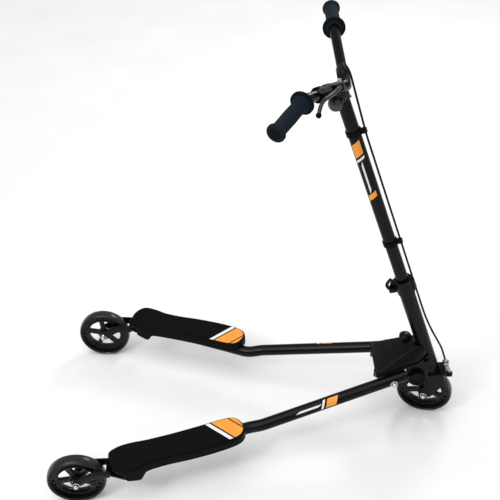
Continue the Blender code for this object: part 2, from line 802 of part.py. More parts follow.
def arm_route():
    """Centre line of the arm tube from the kingpin to its front end."""
    toe = Vector((ARM_TOE_X, ARM_TOE_Y, ARM_DECK_HEIGHT))
    ahead = arm_line(ARM_TOE_X + 60 * MM)
    bend = smooth_path([KINGPIN, toe, ahead, arm_line(ARM_REAR_X)], 1)
    flat = (toe - KINGPIN).normalized()
    rise = (arm_line(ARM_REAR_X) - ahead).normalized()
    reach = (ahead - toe).length * 0.4
    corner = [toe, toe + flat * reach, ahead - rise * reach, ahead]
    steps = 5
    curve = [bezier(corner, k / steps) for k in range(steps + 1)]
    return [bend[0], *curve, arm_line(ARM_REAR_X), arm_line(ARM_END_X)]


def bezier(points, t):
    a, b, c, d = points
    u = 1 - t
    return a * u ** 3 + b * 3 * u * u * t + c * 3 * u * t * t + d * t ** 3


def arm_mesh():
    route = arm_route()
    outside = tube(route, ARM_RADIUS, resolution=3)
    inside = tube([*route[:-1], route[-1] + (route[-1] - route[-2]) * 0.1], ARM_RADIUS - ARM_WALL, resolution=2)
    cup = rod(CUP_RADIUS, -CUP_BELOW, CUP_ABOVE, 16)
    cup.transform(KINGPIN_FRAME)
    bore = drill(CUP_BORE, -CUP_BELOW - 20 * MM, CUP_ABOVE + 20 * MM, 16)
    bore.transform(KINGPIN_FRAME)
    bolt = moved(drill(ARM_BOLT_RADIUS + CLEAR, -40 * MM, 40 * MM), arm_line(ARM_BOLT_X), BOLT_TURN)
    return cut(joined(outside, cup), inside, bore, bolt)


def deck_loop():
    """Outline of the deck in its own plan frame: forward from the kingpin, and outward."""
    inner = [(-43, -14), (-39, -37), (-12, -48), (22, -47), (60, -39), (130, -37), (200, -39), (262, -42), (287, -33)]
    outer = [(297, -6), (289, 15), (267, 28), (220, 31), (150, 30), (90, 25), (45, 29), (10, 41), (-24, 40), (-42, 16)]
    return [Vector(p) * MM for p in inner + outer]


def inset_loop(outline, inset, inner_inset=None):
    """The outline moved inward by a distance, or by another distance where it faces the other deck."""
    made = []
    count = len(outline)
    for i in range(count):
        before, here, after = (Vector(outline[(i + k) % count]) for k in (-1, 0, 1))
        along = (after - before).normalized()
        facing = max(0, along.x) if inner_inset else 0
        distance = inset + facing * ((inner_inset or inset) - inset)
        made.append(tuple(here + Vector((-along.y, along.x)) * distance))
    return made


def deck_frame():
    return Matrix.Translation((KINGPIN.x, KINGPIN.y, 0)) @ Matrix.Rotation(DECK_TURN, 4, "Z")


def skirt_depth(x):
    """Depth of the deck's skirt at this distance forward of the kingpin."""
    if x < HEEL_REAR:
        return 8 * MM
    if x < HEEL_FRONT:
        return HEEL_SKIRT
    if x < HEEL_FRONT + HEEL_RAMP:
        return HEEL_SKIRT + (DECK_SKIRT - HEEL_SKIRT) * (x - HEEL_FRONT) / HEEL_RAMP
    return DECK_SKIRT


def deck_mesh():
    """An inverted tray: a top with a drawn skirt, thin walled and open below, and two ribs that sit on the arm."""
    outline = smooth_loop(deck_loop(), 2)
    bm = bmesh.new()
    shoulder = 3 * MM
    rows = [
        [bm.verts.new((x, y, DECK_TOP)) for x, y in inset_loop(outline, shoulder)],
        [bm.verts.new((x, y, DECK_TOP - shoulder)) for x, y in outline],
        [bm.verts.new((x, y, DECK_TOP - skirt_depth(x))) for x, y in inset_loop(outline, -MM)],
    ]
    bm.faces.new(rows[0])
    count = len(outline)
    for upper, lower in zip(rows, rows[1:]):
        for i in range(count):
            j = (i + 1) % count
            bm.faces.new((upper[i], lower[i], lower[j], upper[j]))
    bmesh.ops.recalc_face_normals(bm, faces=bm.faces)
    if next(f for f in bm.faces if len(f.verts) == count).normal.z < 0:
        bmesh.ops.reverse_faces(bm, faces=bm.faces)
    mesh = bpy.data.meshes.new("deck")
    bm.to_mesh(mesh)
    bm.free()
    obj = helper("deck", mesh)
    wall = obj.modifiers.new("wall", "SOLIDIFY")
    wall.thickness = DECK_WALL
    wall.offset = -1
    wall.use_even_offset = True
    shell = baked(obj)
    shell.transform(deck_frame())

    ribs = []
    rib_height = DECK_SKIRT - DECK_WALL
    for x, half in ((75 * MM, 29 * MM), (250 * MM, 33 * MM)):
        rib = box((DECK_RIB, 2 * half, rib_height), at=(x, -5 * MM, DECK_TOP - MM - rib_height / 2))
        rib.transform(deck_frame())
        ribs.append(rib)
    arm_room = tube(arm_route()[:5], ARM_RADIUS + 2 * CLEAR, resolution=3)
    cup_room = drill(CUP_RADIUS + MM, -CUP_BELOW - 30 * MM, CUP_ABOVE + 3 * MM, 16)
    cup_room.transform(KINGPIN_FRAME)
    return cut(joined(shell, *ribs), arm_room, cup_room)


def pad_mesh():
    outline = inset_loop(smooth_loop(deck_loop(), 2), PAD_INSET, PAD_INNER_INSET)
    low = DECK_TOP + CLEAR
    mesh = slab(outline, low, low + PAD_THICKNESS)
    mesh.transform(deck_frame())
    return mesh


def caster_fork_mesh():
    """Crown plate under the kingpin cup and two trailing blades, in the kingpin's frame."""
    inner = WHEEL_WIDTH / 2 + BLADE_CLEARANCE
    outer = inner + CASTER_BLADE
    top = -CUP_BELOW - 2 * CLEAR
    low = top - CROWN_THICKNESS
    half_chord = 14
    front = [(20 * MM * math.cos(a), 20 * MM * math.sin(a)) for a in (math.radians(k * half_chord) for k in range(-6, 7))]
    crown = slab([*front, (-50 * MM, outer), (-50 * MM, -outer)], low, top)
    axle_x, axle_z = -CASTER_TRAIL, -CASTER_DROP
    end = 11 * MM
    blade = [
        (-36 * MM, low - 4 * MM),
        (-39 * MM, top + 2 * MM),
        (-47 * MM, top + 7 * MM),
        (-80 * MM, -30 * MM),
        (axle_x - 8 * MM, axle_z + 16 * MM),
    ]
    turn = [math.radians(a) for a in range(160, 361, 40)]
    blade += [(axle_x + end * math.cos(a), axle_z + end * math.sin(a)) for a in turn]
    blade += [(-72 * MM, -54 * MM)]
    blades = [side_slab(blade, side, side + CASTER_BLADE) for side in (inner, -outer)]
    hole = moved(drill(AXLE_RADIUS + CLEAR, -2 * outer, 2 * outer), (axle_x, 0, axle_z), (SIDEWAYS, 0, 0))
    pin = drill(KINGPIN_RADIUS + CLEAR, low - 5 * MM, top + 5 * MM, 14)
    return cut(joined(crown, *blades), hole, pin)


def kingpin_mesh():
    """The kingpin bolt, with its head over the bearing and its nut under the crown plate."""
    low = -CUP_BELOW - 2 * CLEAR - CROWN_THICKNESS - CLEAR
    head = CUP_ABOVE + CLEAR
    return turned(
        [
            (0, head + 5 * MM),
            (9 * MM, head + 4 * MM),
            (9 * MM, head),
            (KINGPIN_RADIUS, head),
            (KINGPIN_RADIUS, low),
            (9 * MM, low),
            (9 * MM, low - 6 * MM),
            (0, low - 6 * MM),
        ],
        12,
    )


def caster_bearing_mesh():
    """The bearing sleeve between the cup and the kingpin."""
    return ring(CUP_BORE - CLEAR, KINGPIN_RADIUS + CLEAR, -CUP_BELOW - CLEAR, CUP_ABOVE, 16)


def flank(side, sign):
    """One arm with its deck and caster. The right one is the mirrored left one."""
    half = empty(f"{side}_half", whole)
    half.scale.y = sign
    piece(f"arm_tube_{side}", arm_mesh(), PAINT, half)
    piece(f"deck_{side}", deck_mesh(), PLASTIC, half)
    piece(f"deck_pad_{side}", pad_mesh(), PAD, half)
    bolt_at = arm_line(ARM_BOLT_X)
    nut_seat = ARM_RADIUS + CLEAR
    bolt = turned(
        [
            (0, nut_seat + 5 * MM),
            (ARM_BOLT_RADIUS, nut_seat + 5 * MM),
            (ARM_BOLT_RADIUS, -nut_seat - 5 * MM - CLEAR),
            (9 * MM, -nut_seat - 5 * MM - CLEAR),
            (9 * MM, -nut_seat - 12 * MM),
            (0, -nut_seat - 12 * MM),
        ],
        16,
    )
    piece(f"arm_bolt_{side}", bolt, STEEL, half, bolt_at, BOLT_TURN)
    piece(f"arm_nut_{side}", cap_nut_mesh(nut_seat, ARM_BOLT_RADIUS + CLEAR), CHROME, half, bolt_at, BOLT_TURN)
    cap_at = (CAP_X, KNUCKLE_HALF + CLEAR, CAP_Z)
    piece(f"bolt_cover_{side}", bolt_cover_mesh(), PLASTIC, half, cap_at, (-SIDEWAYS, 0, 0))

    kingpin = empty(f"kingpin_axis_{side}", half, KINGPIN, (0, KINGPIN_LEAN, 0))
    piece(f"caster_bearing_{side}", caster_bearing_mesh(), STEEL, kingpin)
    caster = empty(f"caster_{side}", kingpin, turn=(0, 0, CASTER_TURN))
    piece(f"caster_fork_{side}", caster_fork_mesh(), PAINT, caster)
    piece(f"kingpin_{side}", kingpin_mesh(), STEEL, caster)

    hub = empty(f"rear_hub_{side}", caster, (-CASTER_TRAIL, 0, -CASTER_DROP), (0, -KINGPIN_LEAN, 0))
    blade_out = WHEEL_WIDTH / 2 + BLADE_CLEARANCE + CASTER_BLADE
    facing = SIDEWAYS * sign  # both nuts face right
    piece(f"rear_axle_{side}", axle_mesh(blade_out), CHROME, hub, turn=(facing, 0, 0))
    nut = cap_nut_mesh(blade_out + CLEAR, AXLE_RADIUS + CLEAR)
    piece(f"rear_axle_nut_{side}", nut, CHROME, hub, turn=(facing, 0, 0))
    wheel(f"rear_{side}", hub, SPOKE_ANGLE_LEFT if sign > 0 else SPOKE_ANGLE_RIGHT)


# Fork, front wheel and brake


def fork_mesh():
    crown = slab(
        rounded(
            [(-22 * MM, -CROWN_HALF), (36 * MM, -CROWN_HALF + 4 * MM), (36 * MM, CROWN_HALF - 4 * MM), (-22 * MM, CROWN_HALF)],
            [8 * MM, 6 * MM, 6 * MM, 8 * MM],
            2,
        ),
        CROWN_LOW,
        CROWN_HIGH,
    )
    steerer = rod(STEERER_RADIUS, CROWN_LOW, COLLAR_HIGH, TUBE_SEGMENTS)
    hollow = drill(STEM_RADIUS + CLEAR, CROWN_HIGH + 4 * MM, COLLAR_HIGH + 5 * MM, TUBE_SEGMENTS)
    axle = (-FRONT_OFFSET, FRONT_AXLE_S)
    end = 13 * MM
    arc = [math.radians(a) for a in range(130, 331, 40)]
    shield = rounded(
        [
            (-17 * MM, CROWN_HIGH),
            (31 * MM, CROWN_HIGH),
            (30 * MM, 144 * MM),
            (13 * MM, 113 * MM),
            (-8 * MM, 93 * MM),
            (-24 * MM, 80 * MM),
        ],
        [0, 0, 6 * MM, 14 * MM, 14 * MM, 0],
        2,
    )
    shield += [(axle[0] + end * math.cos(a), axle[1] + end * math.sin(a)) for a in reversed(arc)]
    shield += [(-33 * MM, 113 * MM), (-21 * MM, 136 * MM)]
    outer = SHIELD_INNER + SHIELD_THICKNESS
    shields = [side_slab(shield, low, low + SHIELD_THICKNESS) for low in (SHIELD_INNER, -outer)]
    hole = moved(drill(AXLE_RADIUS + CLEAR, -2 * outer, 2 * outer), (axle[0], 0, axle[1]), (SIDEWAYS, 0, 0))

    ear_round = 6 * MM
    ear = [
        (BRAKE_PIN_Q - ear_round, CROWN_LOW + 2 * MM),
        (BRAKE_PIN_Q - ear_round, BRAKE_PIN_S),
        (BRAKE_PIN_Q - 0.7 * ear_round, BRAKE_PIN_S - 0.7 * ear_round),
        (BRAKE_PIN_Q, BRAKE_PIN_S - ear_round),
        (BRAKE_PIN_Q + 0.7 * ear_round, BRAKE_PIN_S - 0.7 * ear_round),
        (BRAKE_PIN_Q + ear_round, BRAKE_PIN_S),
        (BRAKE_PIN_Q + ear_round, CROWN_LOW + 2 * MM),
    ]
    ears = [side_slab(ear, low, low + 3 * MM) for low in (8.5 * MM, -11.5 * MM)]
    pin = moved(
        drill(BRAKE_PIN_RADIUS + CLEAR, -20 * MM, 20 * MM), (BRAKE_PIN_Q, 0, BRAKE_PIN_S), (SIDEWAYS, 0, 0)
    )
    post = box((4 * MM, 14 * MM, 30 * MM), at=(34 * MM, 0, CROWN_HIGH + 10 * MM))
    stop_mid = (CABLE_STOP_LOW + CABLE_STOP_HIGH) / 2
    stop = box((14 * MM, 12 * MM, CABLE_STOP_HIGH - CABLE_STOP_LOW), at=(CABLE_STOP_Q - MM, 0, stop_mid), bevel=MM)
    wire = moved(drill(1.9 * MM, -20 * MM, 20 * MM, 10), at=(CABLE_STOP_Q, 0, stop_mid))
    body = joined(crown, steerer, *shields, *ears, post, stop)
    room = rod(WHEEL_RADIUS + 2 * MM, -WHEEL_WIDTH / 2 - 2.5 * MM, WHEEL_WIDTH / 2 + 2.5 * MM, 24)
    room = moved(room, (axle[0], 0, axle[1]), (SIDEWAYS, 0, 0))
    return cut(body, hollow, hole, pin, wire, room)


def polar(radius, degrees):
    """A point round the front axle, in the steering frame's own plane."""
    a = math.radians(degrees)
    return (-FRONT_OFFSET + radius * math.cos(a), FRONT_AXLE_S + radius * math.sin(a))


SHOE_LOW = WHEEL_RADIUS + SHOE_GAP
SHOE_HIGH = SHOE_LOW + SHOE_THICKNESS
SHOE_ANGLES = (37, 41, 45, 49)


def brake_shoe_mesh():
    outline = [polar(SHOE_LOW, a) for a in SHOE_ANGLES] + [polar(SHOE_HIGH, a) for a in reversed(SHOE_ANGLES)]
    return side_slab(outline, -7 * MM, 7 * MM)


def brake_arm_mesh():
    """The brake's rocking arm: a spoon over the shoe, an eye on the pin, and the wire's anchor in front."""
    under = SHOE_HIGH + CLEAR
    spoon = [polar(under, a) for a in SHOE_ANGLES]
    back = [polar(under + 3.3 * MM, a) for a in reversed(SHOE_ANGLES[1:])]
    body = side_slab(
        [
            *spoon,
            *back,
            (BRAKE_PIN_Q - 4.5 * MM, BRAKE_PIN_S + 2.5 * MM),
            (BRAKE_PIN_Q, BRAKE_PIN_S + 5.5 * MM),
            (BRAKE_PIN_Q + 5 * MM, BRAKE_PIN_S + 2.5 * MM),
            (BRAKE_PIN_Q + 8 * MM, ANCHOR_S + 3 * MM),
            (ANCHOR_Q + 4.5 * MM, ANCHOR_S + 3 * MM),
            (ANCHOR_Q + 4.5 * MM, ANCHOR_S - 2 * MM),
            (BRAKE_PIN_Q + 2 * MM, BRAKE_PIN_S - 9 * MM),
        ],
        -7.8 * MM,
        7.8 * MM,
    )
    pin = moved(
        drill(BRAKE_PIN_RADIUS + CLEAR, -20 * MM, 20 * MM), (BRAKE_PIN_Q, 0, BRAKE_PIN_S), (SIDEWAYS, 0, 0)
    )
    wire_room = tube([WIRE_FOOT, Vector((ANCHOR_Q, 0, ANCHOR_S + 20 * MM))], WIRE_RADIUS + 1.3 * MM, resolution=3)
    return cut(body, pin, wire_room)


def spring_route():
    """Centre line of the spring's wire, in the steering frame."""
    low = ANCHOR_S + 3 * MM + SPRING_WIRE + 2 * MM
    high = CABLE_STOP_LOW - CLEAR - SPRING_WIRE
    count = SPRING_TURNS * POINTS_PER_TURN
    route = []
    for k in range(count + 1):
        a = math.tau * k / POINTS_PER_TURN
        t = k / count
        s = low + (high - low) * t
        q = ANCHOR_Q + (CABLE_STOP_Q - ANCHOR_Q) * t
        route.append(Vector((q + SPRING_RADIUS * math.cos(a), SPRING_RADIUS * math.sin(a), s)))
    return route


def least_self_gap(route):
    """The least gap of the spring's wire to itself, between points that are half a turn apart or more."""
    apart = POINTS_PER_TURN // 2
    pairs = [(a, b) for i, a in enumerate(route) for b in route[i + apart :]]
    return min((a - b).length for a, b in pairs) - 2 * SPRING_WIRE


def brake_spring_mesh():
    """A compression spring round the inner wire, between the arm's anchor and the cable stop."""
    route = spring_route()
    print(f"brake_spring: least gap to itself {least_self_gap(route) / MM:.2f} mm")
    return tube(route, SPRING_WIRE, resolution=1)


def front_end():
    piece("fork", fork_mesh(), PAINT, steered)
    hub = empty("front_hub", steered, (-FRONT_OFFSET, 0, FRONT_AXLE_S))
    blade_out = SHIELD_INNER + SHIELD_THICKNESS
    piece("front_axle", axle_mesh(blade_out), CHROME, hub, turn=(SIDEWAYS, 0, 0))
    nut = cap_nut_mesh(blade_out + CLEAR, AXLE_RADIUS + CLEAR)
    piece("front_axle_nut", nut, CHROME, hub, turn=(SIDEWAYS, 0, 0))
    down = math.atan2(-math.cos(AXIS_RAKE), -math.sin(AXIS_RAKE) * math.cos(STEER_TURN))
    wheel("front", hub, SPOKE_ANGLE_FRONT - AXIS_RAKE, down)
    pivot_at = Vector((BRAKE_PIN_Q, 0, BRAKE_PIN_S))
    pivot = empty("brake_pivot", steered, pivot_at)
    pin = rod(BRAKE_PIN_RADIUS, -13 * MM, 13 * MM, 12)
    piece("brake_pin", pin, STEEL, pivot, turn=(SIDEWAYS, 0, 0))
    piece("brake_shoe", moved(brake_shoe_mesh(), -pivot_at), RUBBER, pivot)
    piece("brake_arm", moved(brake_arm_mesh(), -pivot_at), PAINT, pivot)
    piece("brake_spring", brake_spring_mesh(), STEEL, steered)


# Clamp, stem and handlebar


def collar_mesh():
    """A split collar with two ears behind it."""
    bore = STEERER_RADIUS + CLEAR
    outer = bore + COLLAR_WALL
    body = ring(outer, bore, COLLAR_LOW, COLLAR_HIGH, TUBE_SEGMENTS)
    ear_low, ear_high = SKEWER_S - 12 * MM, SKEWER_S + 12 * MM
    ear_outline = rounded(
        [(SKEWER_Q - 6 * MM, ear_low), (-bore - MM, ear_low), (-bore - MM, ear_high), (SKEWER_Q - 6 * MM, ear_high)],
        [5 * MM, 0, 0, 5 * MM],
    )
    ears = side_slab(ear_outline, -11 * MM, 11 * MM)
    rib = box((7 * MM, 12 * MM, 30 * MM), at=(outer + MM, 0, (COLLAR_LOW + COLLAR_HIGH) / 2))
    groove = drill(CABLE_RADIUS + CLEAR, COLLAR_LOW - MM, COLLAR_HIGH + MM, 10)
    groove = moved(groove, at=(CABLE_Q, 0, 0))
    slot = box((40 * MM, 2.4 * MM, 60 * MM), at=(-bore - 15 * MM, 0, SKEWER_S))
    hole = moved(drill(SKEWER_RADIUS + CLEAR, -20 * MM, 20 * MM), (SKEWER_Q, 0, SKEWER_S), (SIDEWAYS, 0, 0))
    through = drill(bore, COLLAR_LOW - MM, COLLAR_HIGH + MM, TUBE_SEGMENTS)
    return cut(joined(body, ears, rib), slot, hole, groove, through)


def skewer_mesh():
    """The clamp's skewer, with its round nut on the left."""
    return turned(
        [
            (0, 10.5 * MM),
            (SKEWER_RADIUS, 10.5 * MM),
            (SKEWER_RADIUS, -11.3 * MM),
            (6.5 * MM, -11.3 * MM),
            (6.5 * MM, -17 * MM),
            (5 * MM, -19 * MM),
            (0, -19 * MM),
        ],
        12,
    )


LEVER_PIVOT_Y = -17.5 * MM


def qr_lever_mesh():
    """The quick-release lever: a cam head on the skewer's end and a curved handle."""
    cam = moved(rod(6 * MM, -6 * MM, 6 * MM, 16), turn=(0, SIDEWAYS, 0))
    route = smooth_path(
        [Vector(p) * MM for p in ((0, 0, 2), (-6, -2, 12), (-7, -3, 22), (0, -3, 32), (7, -2, 38))],
        2,
    )
    scales = [1.15 - 0.35 * k / (len(route) - 1) for k in range(len(route))]
    return joined(cam, tube(route, 4.2 * MM, scales, 2))


def stem_mesh():
    bottom_wall = TUBE_WALL
    body = rod(STEM_RADIUS, STEM_BOTTOM, LUG_LOW + 5 * MM, TUBE_SEGMENTS)
    lug = turned(
        [
            (0, LUG_HIGH),
            (LUG_RADIUS - 3 * MM, LUG_HIGH),
            (LUG_RADIUS, LUG_HIGH - 3 * MM),
            (LUG_RADIUS, LUG_LOW + 2 * MM),
            (LUG_RADIUS - 2 * MM, LUG_LOW),
            (0, LUG_LOW),
        ],
        TUBE_SEGMENTS,
    )
    hollow = rod(STEM_RADIUS - bottom_wall, STEM_BOTTOM - 5 * MM, LUG_LOW - 10 * MM, 14)
    seat = tube(core_route(30 * MM), CORE_RADIUS + 2 * CLEAR, resolution=3)
    neck = tube(core_route(SLEEVE_START - 0.5 * MM), CORE_RADIUS + 4 * MM, resolution=3)
    return cut(joined(body, lug, neck), hollow, seat)


def bar_corner():
    """Where the left bar's straight part and its grip's line meet."""
    return GRIP_START - (GRIP_END - GRIP_START).normalized() * (BAR_BEND_REACH + 3 * MM)


def bar_direction(sign):
    along = (bar_corner() - BAR_VERTEX).normalized()
    return along * Vector((1, sign, 1))


def core_route(reach):
    """Both ways from the vertex of the bar, for this length."""
    return [BAR_VERTEX + bar_direction(1) * reach, BAR_VERTEX, BAR_VERTEX + bar_direction(-1) * reach]


def bar_mesh(sign):
    """One bar half: a flared sleeve over the core, and the tube out to the grip's end."""
    side = Vector((1, sign, 1))
    along = bar_direction(sign)
    start, end = GRIP_START * side, GRIP_END * side
    out = (end - start).normalized()
    reach = BAR_BEND_REACH
    middle = bar_corner() * side
    corner = [middle - along * 2 * reach, middle - along * 0.5 * reach, middle + out * 0.3 * reach, middle + out * reach]
    bend = [bezier(corner, k / 4) for k in range(5)]
    sleeve_end = BAR_VERTEX + along * SLEEVE_END
    route = [BAR_VERTEX + along * (SLEEVE_START + 10 * MM), sleeve_end, *bend, end - out * 2 * MM]
    bar = tube(route, BAR_RADIUS, resolution=3)
    stations = (SLEEVE_START, SLEEVE_START + 3 * MM, SLEEVE_END - 3 * MM, SLEEVE_END, SLEEVE_END + MM)
    points = [BAR_VERTEX + along * t for t in stations]
    flare = tube(points, SLEEVE_RADIUS, [0.93, 1, 1, 0.88, 0.78], 3)
    bore = tube([BAR_VERTEX, sleeve_end], CORE_RADIUS + 2 * CLEAR, resolution=3)
    return cut(joined(flare, bar), bore)


def grip_mesh():
    """A foam grip along Z, with a flange at its inner end and a knob over the bar's end."""
    length = (GRIP_END - GRIP_START).length + 4 * MM
    bore = (BAR_RADIUS + CLEAR) / math.cos(math.pi / GRIP_SEGMENTS)
    deep = length - 4 * MM
    return turned(
        [
            (0, length),
            (GRIP_KNOB_RADIUS - 5 * MM, length),
            (GRIP_KNOB_RADIUS, length - 4 * MM),
            (GRIP_KNOB_RADIUS, length - 9 * MM),
            (GRIP_RADIUS, length - 14 * MM),
            (GRIP_RADIUS, 9 * MM),
            (GRIP_FLANGE_RADIUS, 6 * MM),
            (GRIP_FLANGE_RADIUS, -MM),
            (GRIP_RADIUS + 2 * MM, -3 * MM),
            (bore, -3 * MM),
            (bore, deep),
            (0, deep),
        ],
        GRIP_SEGMENTS,
    )


def clip_mesh(front_reach):
    """A cable clip: a band round the stem with an ear that holds the cable."""
    bore = STEM_RADIUS + CLEAR
    band = ring(bore + CLIP_WALL, bore, -CLIP_HEIGHT / 2, CLIP_HEIGHT / 2, 16)
    ear = box((front_reach - bore, 8.5 * MM, CLIP_HEIGHT), at=((front_reach + bore) / 2, 0, 0))
    return band, ear


def cable_points():
    """The cable's own route in the steering frame, from the brake stop up to the lever's barrel."""
    rising = [(41, 0, 186.4), (41, 0, 205), (41, 0, 234), (37, 0, 263), (32, 0, 292), (28.5, 0, 320), (26.2, 0, 350)]
    straight = [(CABLE_Q / MM, 0, 385), (CABLE_Q / MM, 0, 860)]
    top = [(26, 0, 893), (28, 0, 934), (30, 0, 973), (32, 0, 1011), (33, -1, 1038), (32, -7, 1058), (29, -19, 1069)]
    up = (BARREL_TOP - BARREL_FOOT).normalized()
    end = [BAR_FRAME @ (BARREL_TOP + up * reach * MM) for reach in (11, 5, 0.4)]
    lower = smooth_path([Vector(p) * MM for p in rising + straight[:1]], 1)
    upper = smooth_path([Vector(p) * MM for p in straight[1:] + top] + end, 2)
    return lower + upper


def cable_mesh():
    """The cable's jacket, and its inner wire from the brake stop down to the nipple under the rocking arm."""
    points = cable_points()
    wire = tube([WIRE_FOOT, points[0] + Vector((0, 0, MM))], WIRE_RADIUS, resolution=1)
    nipple = moved(rod(2.6 * MM, -4 * MM, 0, 10), at=WIRE_FOOT + Vector((0, 0, MM)))
    return joined(tube(points, CABLE_RADIUS, resolution=2), wire, nipple)


def stem_and_bars():
    piece("clamp_collar", collar_mesh(), PAINT, steered)
    piece("qr_skewer", skewer_mesh(), STEEL, steered, (SKEWER_Q, 0, SKEWER_S), (SIDEWAYS, 0, 0))
    qr = piece("qr_lever", qr_lever_mesh(), PAINT, steered, (SKEWER_Q, LEVER_PIVOT_Y, SKEWER_S))
    piece("stem_tube", stem_mesh(), PAINT, steered)
    core = tube(core_route(SLEEVE_END - 2 * MM), CORE_RADIUS, resolution=3)
    piece("handlebar_core", core, CHROME, steered)
    cable_room = tube(cable_points(), CABLE_RADIUS + CLEAR, resolution=2)
    for name, s in (("cable_clip_upper", CLIP_UPPER), ("cable_clip_lower", CLIP_LOWER)):
        band, ear = clip_mesh(CABLE_Q + CABLE_RADIUS + CLIP_LIP)
        mesh = moved(joined(band, ear), at=(0, 0, s))
        bore = drill(STEM_RADIUS + CLEAR, s - CLIP_HEIGHT, s + CLIP_HEIGHT, 16)
        piece(name, cut(mesh, bore, cable_room.copy()), PLASTIC, steered)
    piece("brake_cable", cable_mesh(), CABLE, steered)
    for side, sign in (("left", 1), ("right", -1)):
        piece(f"bar_{side}", bar_mesh(sign), PAINT, steered)
        out = (GRIP_END - GRIP_START) * Vector((1, sign, 1))
        grip = piece(f"grip_{side}", grip_mesh(), GRIP, steered, GRIP_START * Vector((1, sign, 1)))
        grip.rotation_euler = out.to_track_quat("Z", "Y").to_euler()
    return qr


# Lever set on the right bar. Its frame: X out along the bar, Y forward, Z up

BAR_ALONG = bar_direction(-1)
BAR_FORWARD = (Vector((1, 0, 0)) - BAR_ALONG * BAR_ALONG.x).normalized()
BAR_UP = BAR_ALONG.cross(BAR_FORWARD)
BAR_FRAME = Matrix.Translation(BAR_VERTEX) @ Matrix((BAR_ALONG, BAR_FORWARD, BAR_UP)).transposed().to_4x4()
TAIL_ANGLE = math.radians(-63)  # from straight up towards the front
TAIL_HOLES = ((124 * MM, 2.6 * MM), (98 * MM, 1.6 * MM))
PIVOT_T = 69 * MM
PIVOT_Y = 24 * MM
PIVOT_Z = 4 * MM
NOSE_START = 52 * MM
NOSE_HALF = 9.5 * MM
BELL_Y = 1 * MM
BELL_Z = -28.6 * MM
BELL_RADIUS = 16.5 * MM
BELL_T = 56.8 * MM
TAB_LOW = 51.5 * MM
TAB_HIGH = 54.5 * MM
STRIKER_Y = 23.4 * MM
STRIKER_Z = -17.4 * MM
BARREL_FOOT = Vector((57.5, 21, 6.3)) * MM
BARREL_LENGTH = 14.5 * MM
BARREL_HEAD = 7 * MM
BARREL_TOP = BARREL_FOOT + Vector((0, 0, BARREL_LENGTH))


def lever_bracket_mesh():
    """A clamp round the bar with a tail over it, a nose for the lever's pin and the barrel, and the bell's tab."""
    clamp_high = BRACKET_CLAMP_LOW + BRACKET_CLAMP_WIDTH
    bore = BAR_RADIUS + CLEAR
    clamp = moved(rod(bore + BRACKET_WALL, BRACKET_CLAMP_LOW, clamp_high, 14), turn=(0, SIDEWAYS, 0))
    tail = bracket_tail(clamp_high)
    hole = moved(drill(bore, 0, 2 * BRACKET_CLAMP_LOW, 14), turn=(0, SIDEWAYS, 0))
    nose_outline = rounded(
        [
            (NOSE_START, 15 * MM),
            (clamp_high - 2 * MM, 12 * MM),
            (clamp_high - 2 * MM, 17 * MM),
            (PIVOT_T + 9 * MM, PIVOT_Y + 7 * MM),
            (NOSE_START + 4 * MM, PIVOT_Y + 7 * MM),
            (NOSE_START, PIVOT_Y + 3 * MM),
        ],
        [0, 0, 0, 6 * MM, 4 * MM, 0],
        2,
    )
    nose = slab(nose_outline, PIVOT_Z - NOSE_HALF, PIVOT_Z + NOSE_HALF)
    slot_outline = [
        (PIVOT_T - 7 * MM, 15.2 * MM),
        (clamp_high + 6 * MM, 15.2 * MM),
        (clamp_high + 6 * MM, 40 * MM),
        (PIVOT_T - 7 * MM, 40 * MM),
    ]
    slot = slab(slot_outline, PIVOT_Z - 7 * MM, PIVOT_Z + 6.2 * MM)
    tab = [(16, -4), (28, -4), (29, -18), (22, -26), (8, -36), (-4, -36), (-7, -28), (-3, -22), (8, -20), (15, -14)]
    bell_tab = slab(rounded([Vector(p) * MM for p in tab], 2.5 * MM, 1), TAB_LOW, TAB_HIGH)
    stand_up = Matrix(((0, 0, 1, 0), (1, 0, 0, 0), (0, 1, 0, 0), (0, 0, 0, 1)))
    bell_tab.transform(stand_up)
    pin_hole = moved(drill(2.3 * MM, -20 * MM, 20 * MM, 8), at=(PIVOT_T, PIVOT_Y, 0))
    post = moved(rod(2.2 * MM, TAB_LOW + MM, BELL_T + 10.4 * MM, 10), (0, BELL_Y, BELL_Z), (0, SIDEWAYS, 0))
    peg = moved(rod(1.6 * MM, TAB_LOW + MM, TAB_HIGH + 2.6 * MM, 8), (0, STRIKER_Y, STRIKER_Z), (0, SIDEWAYS, 0))
    barrel = barrel_seat(3.4 * MM)
    body = joined(clamp, *tail, nose, bell_tab, post, peg)
    return cut(body, hole, slot, pin_hole, barrel)


def bracket_tail(start):
    """The bracket's tail: a tapering bar along the handlebar's front side, over the clamp band, with two holes."""
    low = start - 4 * MM
    bottom = BAND_RADIUS + CLEAR
    outline = [(low, -8 * MM), (low, 8 * MM), (TAIL_END - 4 * MM, 6 * MM), (TAIL_END, 2 * MM), (TAIL_END, -4 * MM)]
    bridge = slab(outline, bottom, bottom + TAIL_THICKNESS)
    holes = [moved(drill(r, bottom - MM, bottom + TAIL_THICKNESS + MM, 6), at=(x, 0, 0)) for x, r in TAIL_HOLES]
    return [moved(cut(bridge, *holes), turn=(TAIL_ANGLE, 0, 0))]


def clamp_band_mesh():
    """The black band under the bracket's tail that holds it on the bar."""
    band = ring(BAND_RADIUS, BAR_RADIUS + CLEAR, BAND_LOW, BAND_LOW + BAND_WIDTH, 16)
    return moved(band, turn=(0, SIDEWAYS, 0))


def barrel_seat(radius):
    """The threaded hole that the barrel adjuster sits in."""
    return tube([BARREL_FOOT - (BARREL_TOP - BARREL_FOOT) * 0.05, BARREL_TOP], radius, resolution=3)


